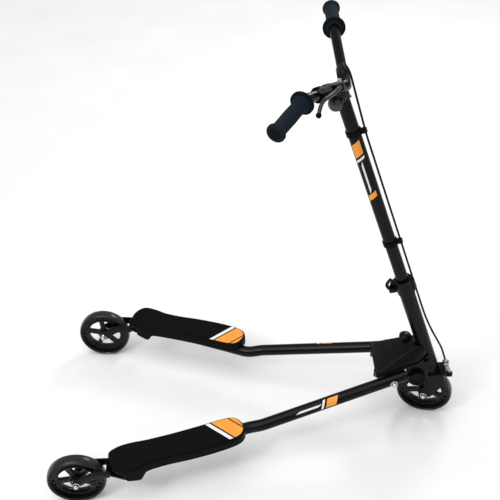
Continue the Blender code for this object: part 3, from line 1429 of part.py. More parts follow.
def barrel_mesh():
    """The cable's barrel adjuster: a knurled head on a threaded neck."""
    length = BARREL_LENGTH
    return turned(
        [
            (0, length),
            (3.4 * MM, length),
            (4.2 * MM, length - MM),
            (4.2 * MM, length - BARREL_HEAD),
            (2.8 * MM, length - BARREL_HEAD),
            (2.8 * MM, 0),
            (0, 0),
        ],
        12,
    )


def brake_lever_mesh():
    """The brake lever, from its eye on the pin to the ball at its tip. Its frame has the pin at the origin."""
    shape = [(0, 0, 0), (7, 3, 0), (16, 4.5, -2.5), (32, 4.5, -7), (56, 4, -11), (74, 2.5, -15), (86, 0, -25)]
    shape.append((93, -3, -39))
    route = smooth_path([Vector(p) * MM for p in shape], 2)
    scales = [1.1 - 0.3 * min(1, 1.4 * k / (len(route) - 1)) for k in range(len(route))]
    handle = tube(route, 5.2 * MM, scales, 2)
    eye = rod(6.5 * MM, -4 * MM, 4.4 * MM, 12)
    tip = route[-1]
    ball = turned(
        [(5.6 * MM * math.sin(a), 5.6 * MM * math.cos(a)) for a in (math.pi * k / 5 for k in range(6))],
        8,
    )
    ball = moved(ball, at=tip)
    pin = drill(2 * MM + CLEAR, -20 * MM, 20 * MM)
    trimmed = cut(joined(handle, eye, ball), pin)
    return trimmed


def bell_mesh():
    """The bell's dome, open towards the stem."""
    wall = 1.4 * MM
    steps = 4
    height = 12.5 * MM
    outer = [
        (BELL_RADIUS * math.sin(math.radians(90) * k / steps), height * math.cos(math.radians(90) * k / steps))
        for k in range(steps + 1)
    ]
    inner = [
        ((BELL_RADIUS - wall) * math.sin(math.radians(90) * k / steps), (height - wall) * math.cos(math.radians(90) * k / steps))
        for k in range(steps, -1, -1)
    ]
    return turned([*outer, *inner], 16)


def striker_mesh():
    """The bell's thumb striker, in a frame with its peg at the origin and X along the bar."""
    arm = [(-3.4, -2), (-4.6, -8.4), (-2, -10.4), (1.6, -9.6), (3.4, -3), (15, -3.6), (16, 1.6), (3, 3.6), (-2, 3.4)]
    plate = slab(rounded([Vector(p) * MM for p in arm], 1.2 * MM, 1), 0, 1.8 * MM)
    hammer = moved(rod(2.2 * MM, MM, 6.5 * MM, 10), at=(-1.8 * MM, -7.7 * MM, 0))
    thumb = box((4 * MM, 5 * MM, 7 * MM), at=(14.5 * MM, -MM, 1.5 * MM), bevel=MM)
    hole = drill(1.6 * MM + CLEAR, -5 * MM, 12 * MM, 10)
    mesh = cut(joined(plate, hammer, thumb), hole)
    stand_up = Matrix(((0, 0, 1, 0), (1, 0, 0, 0), (0, 1, 0, 0), (0, 0, 0, 1)))
    mesh.transform(stand_up)
    return mesh


def lever_set():
    bar = empty("right_bar_frame", steered)
    bar.matrix_local = BAR_FRAME
    piece("lever_bracket", lever_bracket_mesh(), LEVER, bar)
    piece("lever_clamp_band", clamp_band_mesh(), PLASTIC, bar)
    pivot_at = (PIVOT_T, PIVOT_Y, PIVOT_Z)
    piece("brake_lever", brake_lever_mesh(), LEVER, bar, pivot_at)
    pin = rod(2 * MM, -NOSE_HALF, NOSE_HALF + 0.5 * MM, 12)
    piece("lever_pin", pin, STEEL, bar, pivot_at)
    piece("bell_dome", bell_mesh(), CHROME, bar, (BELL_T, BELL_Y, BELL_Z), (0, SIDEWAYS, 0))
    piece("bell_striker", striker_mesh(), LEVER, bar, (TAB_HIGH + CLEAR, STRIKER_Y, STRIKER_Z))
    piece("barrel_adjuster", barrel_mesh(), CHROME, bar, BARREL_FOOT)


front_frame()
flank("left", 1)
flank("right", -1)
front_end()
stem_and_bars()
lever_set()
bpy.context.view_layer.update()
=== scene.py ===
"""Looks of the three-wheel kick scooter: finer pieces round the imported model, materials, light and camera."""

import json
import math

import bmesh
import bpy
from mathutils import Matrix, Vector

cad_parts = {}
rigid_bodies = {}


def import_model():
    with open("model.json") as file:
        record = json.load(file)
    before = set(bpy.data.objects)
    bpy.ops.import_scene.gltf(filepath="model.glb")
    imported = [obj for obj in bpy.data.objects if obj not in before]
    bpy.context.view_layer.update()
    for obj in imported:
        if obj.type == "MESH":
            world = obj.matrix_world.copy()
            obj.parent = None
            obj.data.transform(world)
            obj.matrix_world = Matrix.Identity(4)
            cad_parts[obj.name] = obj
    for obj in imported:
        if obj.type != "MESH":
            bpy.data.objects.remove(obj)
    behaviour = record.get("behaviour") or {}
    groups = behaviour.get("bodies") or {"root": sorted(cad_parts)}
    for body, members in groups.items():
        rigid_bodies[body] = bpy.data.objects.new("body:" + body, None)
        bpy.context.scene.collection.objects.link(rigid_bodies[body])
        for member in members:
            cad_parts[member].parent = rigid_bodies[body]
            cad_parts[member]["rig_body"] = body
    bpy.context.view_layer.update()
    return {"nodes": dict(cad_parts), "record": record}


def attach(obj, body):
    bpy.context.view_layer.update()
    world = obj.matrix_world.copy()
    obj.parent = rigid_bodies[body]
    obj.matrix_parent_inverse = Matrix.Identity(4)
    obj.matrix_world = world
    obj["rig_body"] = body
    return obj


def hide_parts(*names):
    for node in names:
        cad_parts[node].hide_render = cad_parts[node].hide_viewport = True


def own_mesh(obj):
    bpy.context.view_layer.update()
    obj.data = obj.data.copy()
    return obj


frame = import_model()

MM = 0.001
CLEAR = 0.3 * MM  # running and seating clearance between two pieces

# Wheels
WHEEL_RADIUS = 72.5 * MM
WHEEL_WIDTH = 30 * MM
TREAD_CROWN = 5 * MM
TYRE_INNER_RADIUS = 65.3 * MM
TYRE_INNER_WIDTH = 26 * MM
TYRE_SEGMENTS = 32
RIM_SEGMENTS = 30
TUBE_SEGMENTS = 20
GRIP_SEGMENTS = 16
BAND_WALL = 3 * MM
BARREL_RADIUS = 50 * MM
BARREL_WALL = 3.6 * MM
BARREL_WIDTH = 17 * MM
FLANGE_THICKNESS = 10 * MM
HUB_WALL = 3 * MM
HUB_WIDTH = 29 * MM
SPOKES = 5
SPOKE_WIDTH = 12.5 * MM
SPOKE_THICKNESS = 9 * MM
SPOKE_ROOT_RADIUS = 20 * MM
FLANGE_HOLE = 6.5 * MM
FLANGE_HOLE_ANGLE = math.radians(8)
BEARING_RADIUS = 11 * MM
BEARING_WIDTH = 7 * MM
SPACER_RADIUS = 6.5 * MM
AXLE_RADIUS = 4 * MM
SPOKE_ANGLE_LEFT = math.radians(26)
SPOKE_ANGLE_RIGHT = math.radians(-28)
SPOKE_ANGLE_FRONT = math.radians(-20)

# Cap nuts of the axles and of the arm bolts
AXLE_NUT_FLANGE = 8.4 * MM
ARM_NUT_FLANGE = 9.2 * MM
NUT_FLANGE_THICKNESS = 2 * MM
NUT_HEX_HEIGHT = 5 * MM
NUT_HEX_SHARE = 0.88  # of the flange's radius, to the hexagon's corners
NUT_DOME_SHARE = 0.68
BOLT_HEAD_RADIUS = 9 * MM

# Casters: a kingpin that leans forward at its top, and a fork that trails behind it
KINGPIN_AHEAD_OF_AXLE = 130 * MM
KINGPIN_HALF_TRACK = 266 * MM
KINGPIN_LEAN = math.radians(30)
CASTER_TURN = math.radians(-3.48)
CASTER_TRAIL = 98.8 * MM
CASTER_DROP = 88.8 * MM
KINGPIN_RADIUS = 6 * MM
CUP_RADIUS = 20 * MM
CUP_WALL = 4 * MM
CUP_BELOW = 19 * MM
CUP_ABOVE = 18 * MM
CROWN_THICKNESS = 6 * MM
CASTER_BLADE = 4 * MM
BLADE_CLEARANCE = 3.5 * MM  # from the tyre to a fork blade

# Arms
ARM_RADIUS = 15 * MM
ARM_WALL = 2 * MM
ARM_DECK_HEIGHT = 99 * MM
ARM_TOE_X = 405 * MM
ARM_TOE_Y = 148 * MM
ARM_REAR_X = 744 * MM  # where the arm runs in under the yoke plate
ARM_REAR_Y = 73.5 * MM
ARM_REAR_Z = 169 * MM
ARM_SLOPE = -0.234  # sideways per length forward, in front of the deck
ARM_RISE = 0.2178  # upward per length forward
ARM_END_X = 822 * MM
ARM_BOLT_X = 785 * MM
ARM_BOLT_RADIUS = 5 * MM
EAR_THICKNESS = 5 * MM

# Decks
DECK_TOP = 131 * MM
DECK_WALL = 2.6 * MM
DECK_SKIRT = 22 * MM
HEEL_SKIRT = 41 * MM
HEEL_REAR = -16 * MM  # from the kingpin forward
HEEL_FRONT = 20 * MM
HEEL_RAMP = 14 * MM
DECK_TURN = math.radians(-19)
PAD_THICKNESS = 2.2 * MM
PAD_INSET = 3.6 * MM
PAD_INNER_INSET = 4 * MM
DECK_RIB = 5 * MM

# Yoke: a plate that rises with the arms, a sloping cover over it, and the head tube
PLATE_REAR_Z = 188 * MM
PLATE_THICKNESS = 4 * MM
PLATE_REAR_HALF = 70 * MM
PLATE_SHOULDER_X = 856 * MM  # where the plate narrows towards the head tube
PLATE_SHOULDER_HALF = 47 * MM
PLATE_FRONT_HALF = 24 * MM
COVER_RIDGE_X = 842 * MM
COVER_RIDGE_Z = 250 * MM
COVER_RIDGE_HALF = 26 * MM
KNOB_RADIUS = 15.5 * MM
KNOB_HEIGHT = 7 * MM
KNUCKLE_HALF = 37 * MM
KNUCKLE_WALL = 4 * MM
CAP_RADIUS = 23 * MM
CAP_DEPTH = 12 * MM
CAP_FINS = 10
CAP_X = 853 * MM
CAP_Z = 162 * MM

# Steering axis
AXIS_BASE_X = 951.4 * MM  # where the axis meets the ground, ahead of the rear axles
AXIS_RAKE = math.radians(18.39)
STEER_TURN = math.radians(-16.28)  # the bars stand turned to the right
HEAD_LOW = 166 * MM
HEAD_HIGH = 430 * MM
HEAD_RADIUS = 19 * MM
STEERER_RADIUS = 17 * MM
STEM_RADIUS = 15.1 * MM
TUBE_WALL = 2 * MM
FRONT_OFFSET = 39 * MM  # the front axle lies this far behind the axis
CROWN_LOW = 153.6 * MM
CROWN_HIGH = 161 * MM
CROWN_HALF = 26 * MM
SHIELD_INNER = 20 * MM
SHIELD_THICKNESS = 3.5 * MM
COLLAR_LOW = 437.4 * MM
COLLAR_HIGH = 475 * MM
COLLAR_WALL = 5 * MM
COLLAR_EAR_HALF = 11 * MM
STEM_BOTTOM = 330 * MM
LUG_HIGH = 1017 * MM
LUG_HEIGHT = 36 * MM
LUG_LOW = LUG_HIGH - LUG_HEIGHT
LUG_RADIUS = 18 * MM
SKEWER_S = 455 * MM
SKEWER_Q = -28 * MM
SKEWER_RADIUS = 2.8 * MM
CLIP_UPPER = LUG_LOW - 83 * MM
CLIP_LOWER = 590 * MM
CLIP_HEIGHT = 12 * MM
CLIP_WALL = 2.5 * MM
CLIP_LIP = 1.5 * MM  # of the clip in front of the cable

# Handlebar, as (forward, left, up the axis) in the steering frame
BAR_AHEAD = 15 * MM
BAR_BELOW_TOP = 6 * MM
GRIP_BACK = 38.4 * MM  # from the bar's vertex to the inner end of a grip
GRIP_OUT = 159 * MM
GRIP_ABOVE = 62 * MM
GRIP_SWEEP = 28.1 * MM  # from the inner to the outer end of a grip
GRIP_SPAN = 108 * MM
GRIP_RISE = 3 * MM
BAR_BEND_REACH = 8 * MM
BAR_VERTEX = Vector((BAR_AHEAD, 0, LUG_HIGH - BAR_BELOW_TOP))
GRIP_START = BAR_VERTEX + Vector((-GRIP_BACK, GRIP_OUT, GRIP_ABOVE))
GRIP_END = GRIP_START + Vector((-GRIP_SWEEP, GRIP_SPAN, GRIP_RISE))
GRIP_LENGTH = (GRIP_END - GRIP_START).length + 4 * MM
BAR_RADIUS = 11 * MM
CORE_RADIUS = 9 * MM
SLEEVE_START = 24 * MM
SLEEVE_END = 50 * MM
BRACKET_CLAMP_LOW = 67.5 * MM
BRACKET_CLAMP_WIDTH = 16.5 * MM
BRACKET_WALL = 5 * MM
TAIL_END = 136 * MM
TAIL_THICKNESS = 4 * MM
BAND_LOW = 105 * MM
BAND_WIDTH = 13 * MM
BAND_RADIUS = 16.5 * MM
SLEEVE_RADIUS = 14 * MM
GRIP_RADIUS = 15 * MM
GRIP_FLANGE_RADIUS = 25 * MM
GRIP_KNOB_RADIUS = 20 * MM

# Brake
CABLE_RADIUS = 2.5 * MM
CABLE_Q = 25.6 * MM  # the cable runs up in front of the stem at this distance
BRAKE_PIN_Q = 29 * MM
BRAKE_PIN_S = 146 * MM
BRAKE_PIN_AT = Vector((BRAKE_PIN_Q, 0, BRAKE_PIN_S))
BRAKE_PIN_RADIUS = 3 * MM
PIN_EAR_INNER = 8.5 * MM
PIN_EAR_THICKNESS = 3 * MM
SHOE_GAP = 1.3 * MM
SHOE_THICKNESS = 4 * MM
SHOE_HALF = 7 * MM
ROCKER_HALF = 7.8 * MM
CABLE_STOP_Q = 41 * MM
CABLE_STOP_LOW = 176 * MM
CABLE_STOP_HIGH = 186 * MM
STOP_HEIGHT = CABLE_STOP_HIGH - CABLE_STOP_LOW
STOP_BORE = 1.9 * MM
STOP_MIDDLE = (CABLE_STOP_LOW + CABLE_STOP_HIGH) / 2
ANCHOR_Q = 43 * MM
ANCHOR_S = 139 * MM
WIRE_RADIUS = 0.9 * MM
WIRE_FOOT = Vector((ANCHOR_Q, 0, ANCHOR_S - 3.5 * MM))
SPRING_RADIUS = 3.6 * MM
SPRING_WIRE = 0.7 * MM
SPRING_TURNS = 6
POINTS_PER_TURN = 8

SIDEWAYS = math.pi / 2
ON_Y = (SIDEWAYS, 0, 0)  # turns a shape's own axis from up to the right
ON_X = (0, SIDEWAYS, 0)  # turns it from up to the front
STAND_UP = Matrix(((0, 0, 1, 0), (1, 0, 0, 0), (0, 1, 0, 0), (0, 0, 0, 1)))  # sends X, Y, Z to Y, Z, X
SIDES = (("left", 1), ("right", -1))
THROUGH = 20 * MM  # how far a drill runs on past what it cuts
SHARP = math.radians(35)  # an edge that turns more than this stays sharp, or gets a bevel
FILM_OUT = 0.28 * MM  # a coloured film's faces, over and under the tube's own
FILM_IN = 0.25 * MM
FILM_SLANT = 12 * MM
SKIRT_FLARE = 0.6 * MM

PAINT = "frame_paint"
PLASTIC = "moulded_black"
PAD = "deck_grip"
CHROME = "polished_chrome"
STEEL = "bright_steel"
TYRE = "smoky_tyre"
RIM = "black_rim"
GRIP = "foam"
LEVER = "grey_alloy"
RUBBER = "brake_rubber"
CABLE = "cable_jacket"


# Materials

RAMP_STOPS = (0.35, 0.65)
GLOSS_VARY = 0.18


def node(tree, kind, **inputs):
    """A new node with these inputs."""
    made = tree.nodes.new(f"ShaderNode{kind}")
    feed(tree, made, **inputs)
    return made


def feed(tree, made, **inputs):
    """Sets a node's inputs, each to a number or from another node's output."""
    for name, value in inputs.items():
        socket = made.inputs[name.replace("_", " ")]
        if isinstance(value, bpy.types.NodeSocket):
            tree.links.new(value, socket)
        else:
            socket.default_value = value


def shade(name, colour, roughness, metallic=0.0, vary=0.25, scale=40, grain=900, depth=0.00002, specular=0.5):
    """A finish whose colour and gloss wander a little, over a fine grain in its surface."""
    made = bpy.data.materials.new(name)
    made.use_nodes = True
    tree = made.node_tree
    shader = tree.nodes["Principled BSDF"]
    place = tree.nodes.new("ShaderNodeTexCoord").outputs["Object"]
    wander = node(tree, "TexNoise", Vector=place, Scale=scale, Detail=3).outputs["Fac"]
    colours = node(tree, "ValToRGB", Fac=wander)
    for stop, position, share in zip(colours.color_ramp.elements, RAMP_STOPS, (1 - vary, 1 + vary)):
        stop.position = position
        stop.color = (*(min(1, c * share) for c in colour), 1)
    gloss = node(tree, "MapRange", Value=wander, From_Min=0.3, From_Max=0.7)
    feed(tree, gloss, To_Min=roughness * (1 - GLOSS_VARY), To_Max=roughness * (1 + GLOSS_VARY))
    fine_grain = node(tree, "TexNoise", Vector=place, Scale=grain, Detail=2).outputs["Fac"]
    relief = node(tree, "Bump", Strength=1, Distance=depth, Height=fine_grain)
    feed(tree, shader, Base_Color=colours.outputs["Color"], Roughness=gloss.outputs["Result"])
    feed(tree, shader, Metallic=metallic, Specular_IOR_Level=specular, Normal=relief.outputs["Normal"])
    return made


LOOKS = {
    PAINT: dict(colour=(0.0026, 0.0026, 0.0028), roughness=0.24, specular=0.14),
    PLASTIC: dict(colour=(0.0024, 0.0024, 0.0026), roughness=0.42, grain=1500, depth=0.00006, specular=0.06),
    PAD: dict(
        colour=(0.0042, 0.0042, 0.0043), roughness=0.8, specular=0.06,
        vary=0.5, scale=900, grain=2600, depth=0.0003,
    ),
    CHROME: dict(colour=(0.62, 0.62, 0.63), roughness=0.1, metallic=1, vary=0.06),
    STEEL: dict(colour=(0.42, 0.42, 0.42), roughness=0.34, metallic=1, vary=0.12, grain=1800),
    TYRE: dict(colour=(0.014, 0.014, 0.015), roughness=0.26, scale=25, grain=600, specular=0.3),
    RIM: dict(colour=(0.0035, 0.0035, 0.0037), roughness=0.26, grain=1200, depth=0.00003, specular=0.2),
    GRIP: dict(
        colour=(0.0045, 0.0105, 0.019), roughness=0.85, specular=0.15,
        vary=0.3, scale=500, grain=2200, depth=0.0003,
    ),
    LEVER: dict(
        colour=(0.034, 0.034, 0.035), roughness=0.36, metallic=0.5,
        vary=0.2, grain=1600, depth=0.00005,
    ),
    RUBBER: dict(colour=(0.0045, 0.0045, 0.005), roughness=0.9, grain=1400, depth=0.0001, specular=0.1),
    CABLE: dict(colour=(0.004, 0.004, 0.0042), roughness=0.4, grain=1400, specular=0.15),
}
FINISH = {slot: shade(slot, **look) for slot, look in LOOKS.items()}
ORANGE = shade("vinyl_orange", (0.86, 0.33, 0.045), 0.42, vary=0.05, grain=1500, specular=0.3)
WHITE = shade("vinyl_white", (0.78, 0.78, 0.77), 0.42, vary=0.03, grain=1500, specular=0.3)
SMOKED = shade("smoked_chrome", (0.06, 0.06, 0.062), 0.25, 0.8, vary=0.15)



# Shapes


def placed(parent=Matrix.Identity(4), at=(0, 0, 0), turn=(0, 0, 0)):
    """A frame set in another one, turned by X, Y and Z angles."""
    x, y, z = (Matrix.Rotation(angle, 4, axis) for angle, axis in zip(turn, "XYZ"))
    return parent @ Matrix.Translation(at) @ (z @ y @ x)


def linked(name, data):
    """A new object in the scene."""
    made = bpy.data.objects.new(name, data)
    bpy.context.scene.collection.objects.link(made)
    return made


def added(name, mesh, look, body, place):
    """A new piece on a body, from a mesh drawn in the frame given."""
    mesh.transform(place)
    if place.determinant() < 0:
        mesh.flip_normals()
    mesh.materials.clear()
    mesh.materials.append(look)
    mesh.shade_smooth()
    mesh.set_sharp_from_angle(angle=SHARP)
    made = linked(name, mesh)
    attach(made, body)
    return made


def piece(name, mesh, finish, parent, at=(0, 0, 0), turn=(0, 0, 0), edge=0.0):
    """The finer piece that stands for the node of this name."""
    if edge:
        mesh = bevelled(mesh, edge)
    body = frame["nodes"][name]["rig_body"]
    made = added(f"{name}_fine", mesh, FINISH[finish], body, placed(parent, at, turn))
    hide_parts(name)
    return made


def baked(obj):
    """The mesh of an object with its modifiers applied and its loose caps welded, in its own frame."""
    bpy.context.view_layer.update()
    graph = bpy.context.evaluated_depsgraph_get()
    mesh = bpy.data.meshes.new_from_object(obj.evaluated_get(graph))
    bm = bmesh.new()
    bm.from_mesh(mesh)
    bmesh.ops.remove_doubles(bm, verts=bm.verts, dist=0.005 * MM)
    bm.to_mesh(mesh)
    bm.free()
    bpy.data.objects.remove(obj)
    return mesh


def moved(mesh, at=(0, 0, 0), turn=(0, 0, 0)):
    """The same mesh after a rotation, given as X, Y and Z angles, and then a move."""
    return set_in(mesh, placed(at=at, turn=turn))


def fine(segments):
    """Sides of a turned shape: a hexagon stays one."""
    return segments if segments < 8 else 3 * segments


def set_in(mesh, place):
    """The same mesh, set in a frame."""
    mesh.transform(place)
    return mesh


def mirrored_mesh(mesh):
    """The mesh's mirror image on the object's other side."""
    other = set_in(mesh.copy(), Matrix.Diagonal((1, -1, 1, 1)))
    other.flip_normals()
    return other


def finished(bm):
    """The mesh that was drawn."""
    mesh = bpy.data.meshes.new("shape")
    bm.to_mesh(mesh)
    bm.free()
    return mesh


def modified(mesh, kind, **settings):
    """The mesh after a modifier with these settings."""
    obj = linked("shape", mesh)
    modifier = obj.modifiers.new(kind, kind)
    for name, value in settings.items():
        setattr(modifier, name, value)
    return baked(obj)


def turned(profile, segments=20, ring=False):
    """A turned shape round Z, from (radius, height) pairs down the outside and, for a ring, up the bore."""
    mesh = bpy.data.meshes.new("turned")
    last = len(profile) - 1
    edges = [(i, i + 1) for i in range(last)]
    if ring:
        edges.append((last, 0))
    mesh.from_pydata([(radius, 0, height) for radius, height in profile], edges, [])
    steps = fine(segments)
    merge = dict(use_merge_vertices=True, merge_threshold=0.01 * MM)
    return modified(mesh, "SCREW", steps=steps, render_steps=steps, **merge)


def rod(radius, low, high, segments):
    return turned([(0, high), (radius, high), (radius, low), (0, low)], segments)


def drill(radius, low, high, segments=12):
    """A rod to cut a bore with, whose flats keep the full radius."""
    return rod(radius / math.cos(math.pi / fine(segments)), low, high, segments)


def ring(outer, inner, low, high, segments):
    bore = inner / math.cos(math.pi / fine(segments))
    return turned([(outer, high), (outer, low), (bore, low), (bore, high)], segments, ring=True)


def box(size, at, bevel=0.0):
    bm = bmesh.new()
    bmesh.ops.create_cube(bm, size=1, matrix=Matrix.Translation(at) @ Matrix.Diagonal((*size, 1)))
    if bevel:
        bmesh.ops.bevel(bm, geom=bm.edges, offset=bevel, segments=1, affect="EDGES", clamp_overlap=True)
    return finished(bm)


def rounded(points, radii, steps=3):
    """A closed outline whose corners are arcs. Each corner has its own radius, or none."""
    outline = []
    steps *= 3
    count = len(points)
    for i, corner in enumerate(points):
        corner = Vector(corner)
        radius = radii[i] if isinstance(radii, (list, tuple)) else radii
        back = (Vector(points[i - 1]) - corner).normalized()
        ahead = (Vector(points[(i + 1) % count]) - corner).normalized()
        half = back.angle(ahead) / 2
        if radius <= 0 or half > math.radians(88):
            outline.append(tuple(corner))
            continue
        centre = corner + (back + ahead).normalized() * radius / math.sin(half)
        start = corner + back * radius / math.tan(half) - centre
        end = corner + ahead * radius / math.tan(half) - centre
        sweep = math.atan2(start.x * end.y - start.y * end.x, start.dot(end))
        for k in range(steps + 1):
            outline.append(tuple(centre + Matrix.Rotation(sweep * k / steps, 2) @ start))
    return outline


def smooth_loop(points, steps):
    """A closed smooth outline through the points."""
    count = len(points)
    outline = []
    for i in range(count):
        near = [Vector(points[(i + k - 1) % count]) for k in range(4)]
        outline += [tuple(catmull(*near, k / steps)) for k in range(steps)]
    return outline


def catmull(p0, p1, p2, p3, t):
    square = (2 * p0 - 5 * p1 + 4 * p2 - p3) * t ** 2
    cube = (3 * p1 - p0 - 3 * p2 + p3) * t ** 3
    return 0.5 * (2 * p1 + (p2 - p0) * t + square + cube)


def smooth_path(points, steps):
    """An open smooth route through the points."""
    padded = [Vector(p) for p in (points[0], *points, points[-1])]
    spans = range(len(points) - 1)
    route = [catmull(*padded[i : i + 4], k / steps) for i in spans for k in range(steps)]
    return [*route, padded[-1]]


def straight_curve(points, dimensions, fill_mode, scales=None):
    """A curve straight from point to point, whose radius may change from one to the next."""
    curve = bpy.data.curves.new("curve", "CURVE")
    curve.dimensions = dimensions
    curve.fill_mode = fill_mode
    spline = curve.splines.new("POLY")
    spline.points.add(len(points) - 1)
    for knot, point, scale in zip(spline.points, points, scales or [1] * len(points)):
        knot.co = (*Vector(point).to_3d(), 1)
        knot.radius = scale
    return curve


def slab(outline, low, high):
    """A flat plate with this XY outline, between two heights."""
    curve = straight_curve(outline, "2D", "BOTH")
    curve.extrude = (high - low) / 2
    curve.splines[0].use_cyclic_u = True
    return moved(baked(linked("slab", curve)), at=(0, 0, (high + low) / 2))


def side_slab(outline, low, high):
    """A plate with this XZ outline, between two places along Y."""
    return moved(slab(outline, -high, -low), turn=ON_Y)


def tube(points, radius, scales=None, resolution=3):
    """A solid rod along a route, with a radius that may change from point to point."""
    curve = straight_curve(points, "3D", "FULL", scales)
    curve.bevel_depth = radius
    curve.bevel_resolution = 3 * resolution + 2
    curve.use_fill_caps = True
    return baked(linked("tube", curve))


def hull(points):
    """The convex solid round the points."""
    bm = bmesh.new()
    for point in points:
        bm.verts.new(point)
    made = bmesh.ops.convex_hull(bm, input=bm.verts)
    loose = [g for g in made["geom_interior"] if isinstance(g, bmesh.types.BMVert)]
    bmesh.ops.delete(bm, geom=loose, context="VERTS")
    bmesh.ops.dissolve_limit(bm, angle_limit=math.radians(1), verts=bm.verts, edges=bm.edges)
    return finished(bm)


def bevelled(mesh, width, segments=2):
    return modified(mesh, "BEVEL", width=width, segments=segments, limit_method="ANGLE", angle_limit=SHARP)


def combine(base, others, operation):
    obj = linked("base", base)
    tools = [linked("tool", other) for other in others]
    for tool in tools:
        boolean = obj.modifiers.new(operation, "BOOLEAN")
        boolean.operation = operation
        boolean.object = tool
    mesh = baked(obj)
    for tool in tools:
        bpy.data.objects.remove(tool)
    return mesh


def joined(base, *others):
    return combine(base, others, "UNION")


def cut(base, *others):
    return combine(base, others, "DIFFERENCE")


def cross_hole(radius, at, reach=THROUGH):
    """A drill along Y, through a place given in the frame."""
    return moved(drill(radius, -reach, reach), at, ON_Y)


def copies_around(mesh, count, start=0.0):
    """Copies of a mesh, evenly spaced round Z, in one mesh."""
    bm = bmesh.new()
    for k in range(count):
        copy = set_in(mesh.copy(), Matrix.Rotation(start + k * math.tau / count, 4, "Z"))
        bm.from_mesh(copy)
        bpy.data.meshes.remove(copy)
    return finished(bm)


def arc_points(radius, angles, centre=(0, 0)):
    """Points of a circle at these angles."""
    return [(centre[0] + radius * math.cos(a), centre[1] + radius * math.sin(a)) for a in angles]


def film(start, end, radius, low, high, around, half_angle, slant):
    """A thin closed film wrapped on a tube from start to end, between two places along it and round one side.

    around is the direction that the film's middle faces, and slant is how far its edges lean along the tube.
    """
    along = (end - start).normalized()
    facing = (around - along * around.dot(along)).normalized()
    across = along.cross(facing)
    steps = 16
    bm = bmesh.new()
    rows = []
    for shell in (FILM_OUT, -FILM_IN):
        for place in (low, high):
            row = []
            for k in range(steps + 1):
                a = half_angle * (2 * k / steps - 1)
                out = facing * math.cos(a) + across * math.sin(a)
                row.append(bm.verts.new(start + along * (place + slant * k / steps) + out * (radius + shell)))
            rows.append(row)
    top_low, top_high, under_low, under_high = rows
    loop = (top_low, top_high, under_high, under_low)
    for k in range(steps):
        for one, two in zip(loop, (*loop[1:], top_low)):
            bm.faces.new((one[k], one[k + 1], two[k + 1], two[k]))
    for k in (0, steps):
        bm.faces.new([row[k] for row in loop])
    bmesh.ops.recalc_face_normals(bm, faces=bm.faces)
    return finished(bm)


# Wheels


def tread():
    """Half of the tyre's outer section, from the middle to the edge, as (radius, half width)."""
    steps = 14
    angles = [math.radians(90) * k / steps for k in range(steps + 1)]
    edge = WHEEL_RADIUS - TREAD_CROWN
    return [(edge + TREAD_CROWN * math.cos(a), WHEEL_WIDTH / 2 * math.sin(a)) for a in angles]


def tread_drop(lean):
    """Height of a wheel's centre over the ground when the wheel leans by this angle."""
    return max(radius * math.cos(lean) + half * math.sin(abs(lean)) for radius, half in tread())


def tyre_mesh():
    crown = tread()
    outside = [*reversed(crown), *((radius, -half) for radius, half in crown[1:])]
    half = TYRE_INNER_WIDTH / 2
    inner = TYRE_INNER_RADIUS / math.cos(math.pi / TYRE_SEGMENTS)
    return turned([*outside, (inner, -half), (inner, half)], TYRE_SEGMENTS, ring=True)


def both_halves(upper):
    """A section from its upper half: the same points, and then their mirror images below."""
    return [*upper, *((radius, -height) for radius, height in reversed(upper))]


def rim_mesh():
    band_out = TYRE_INNER_RADIUS - CLEAR
    band_in = band_out - BAND_WALL
    barrel_in = BARREL_RADIUS - BARREL_WALL
    bore = (BEARING_RADIUS + CLEAR) / math.cos(math.pi / RIM_SEGMENTS)
    hub = bore + HUB_WALL
    band, flange, barrel = TYRE_INNER_WIDTH / 2, FLANGE_THICKNESS / 2, BARREL_WIDTH / 2
    spoke, hub_half = SPOKE_THICKNESS / 2, HUB_WIDTH / 2
    upper = [
        (bore, hub_half),
        (hub, hub_half),
        (hub, spoke),
        (barrel_in, spoke),
        (barrel_in, barrel),
        (BARREL_RADIUS, barrel),
        (BARREL_RADIUS, flange),
        (band_in, flange),
        (band_in, band),
        (band_out, band),
    ]
    body = turned(both_halves(upper), RIM_SEGMENTS, ring=True)
    pitch = math.tau / SPOKES
    outer = barrel_in - 0.5 * MM
    far = math.asin(SPOKE_WIDTH / 2 / outer)
    near = math.asin(SPOKE_WIDTH / 2 / SPOKE_ROOT_RADIUS)
    steps = 3
    arc = [far + (pitch - 2 * far) * k / steps for k in range(steps + 1)]
    window = arc_points(outer, arc) + arc_points(SPOKE_ROOT_RADIUS, (pitch - near, near))
    corner = 3.5 * MM
    window = rounded(window, [corner] + [0] * (steps - 1) + [corner, 0, 0], 1)
    windows = copies_around(slab(window, -HUB_WIDTH, HUB_WIDTH), SPOKES)
    hole = moved(drill(FLANGE_HOLE / 2, -HUB_WIDTH, HUB_WIDTH, 6), at=((BARREL_RADIUS + band_in) / 2, 0, 0))
    holes = [copies_around(hole.copy(), SPOKES, FLANGE_HOLE_ANGLE * sign) for _, sign in SIDES]
    return bevelled(cut(body, windows, *holes), 0.6 * MM)


def bearings_mesh():
    """Two bearings with the spacer between them, on one bore."""
    half = HUB_WIDTH / 2
    inner = half - BEARING_WIDTH
    segments = 10
    bore = (AXLE_RADIUS + CLEAR) / math.cos(math.pi / segments)
    upper = [(bore, half), (BEARING_RADIUS, half), (BEARING_RADIUS, inner), (SPACER_RADIUS, inner)]
    return turned(both_halves(upper), segments, ring=True)


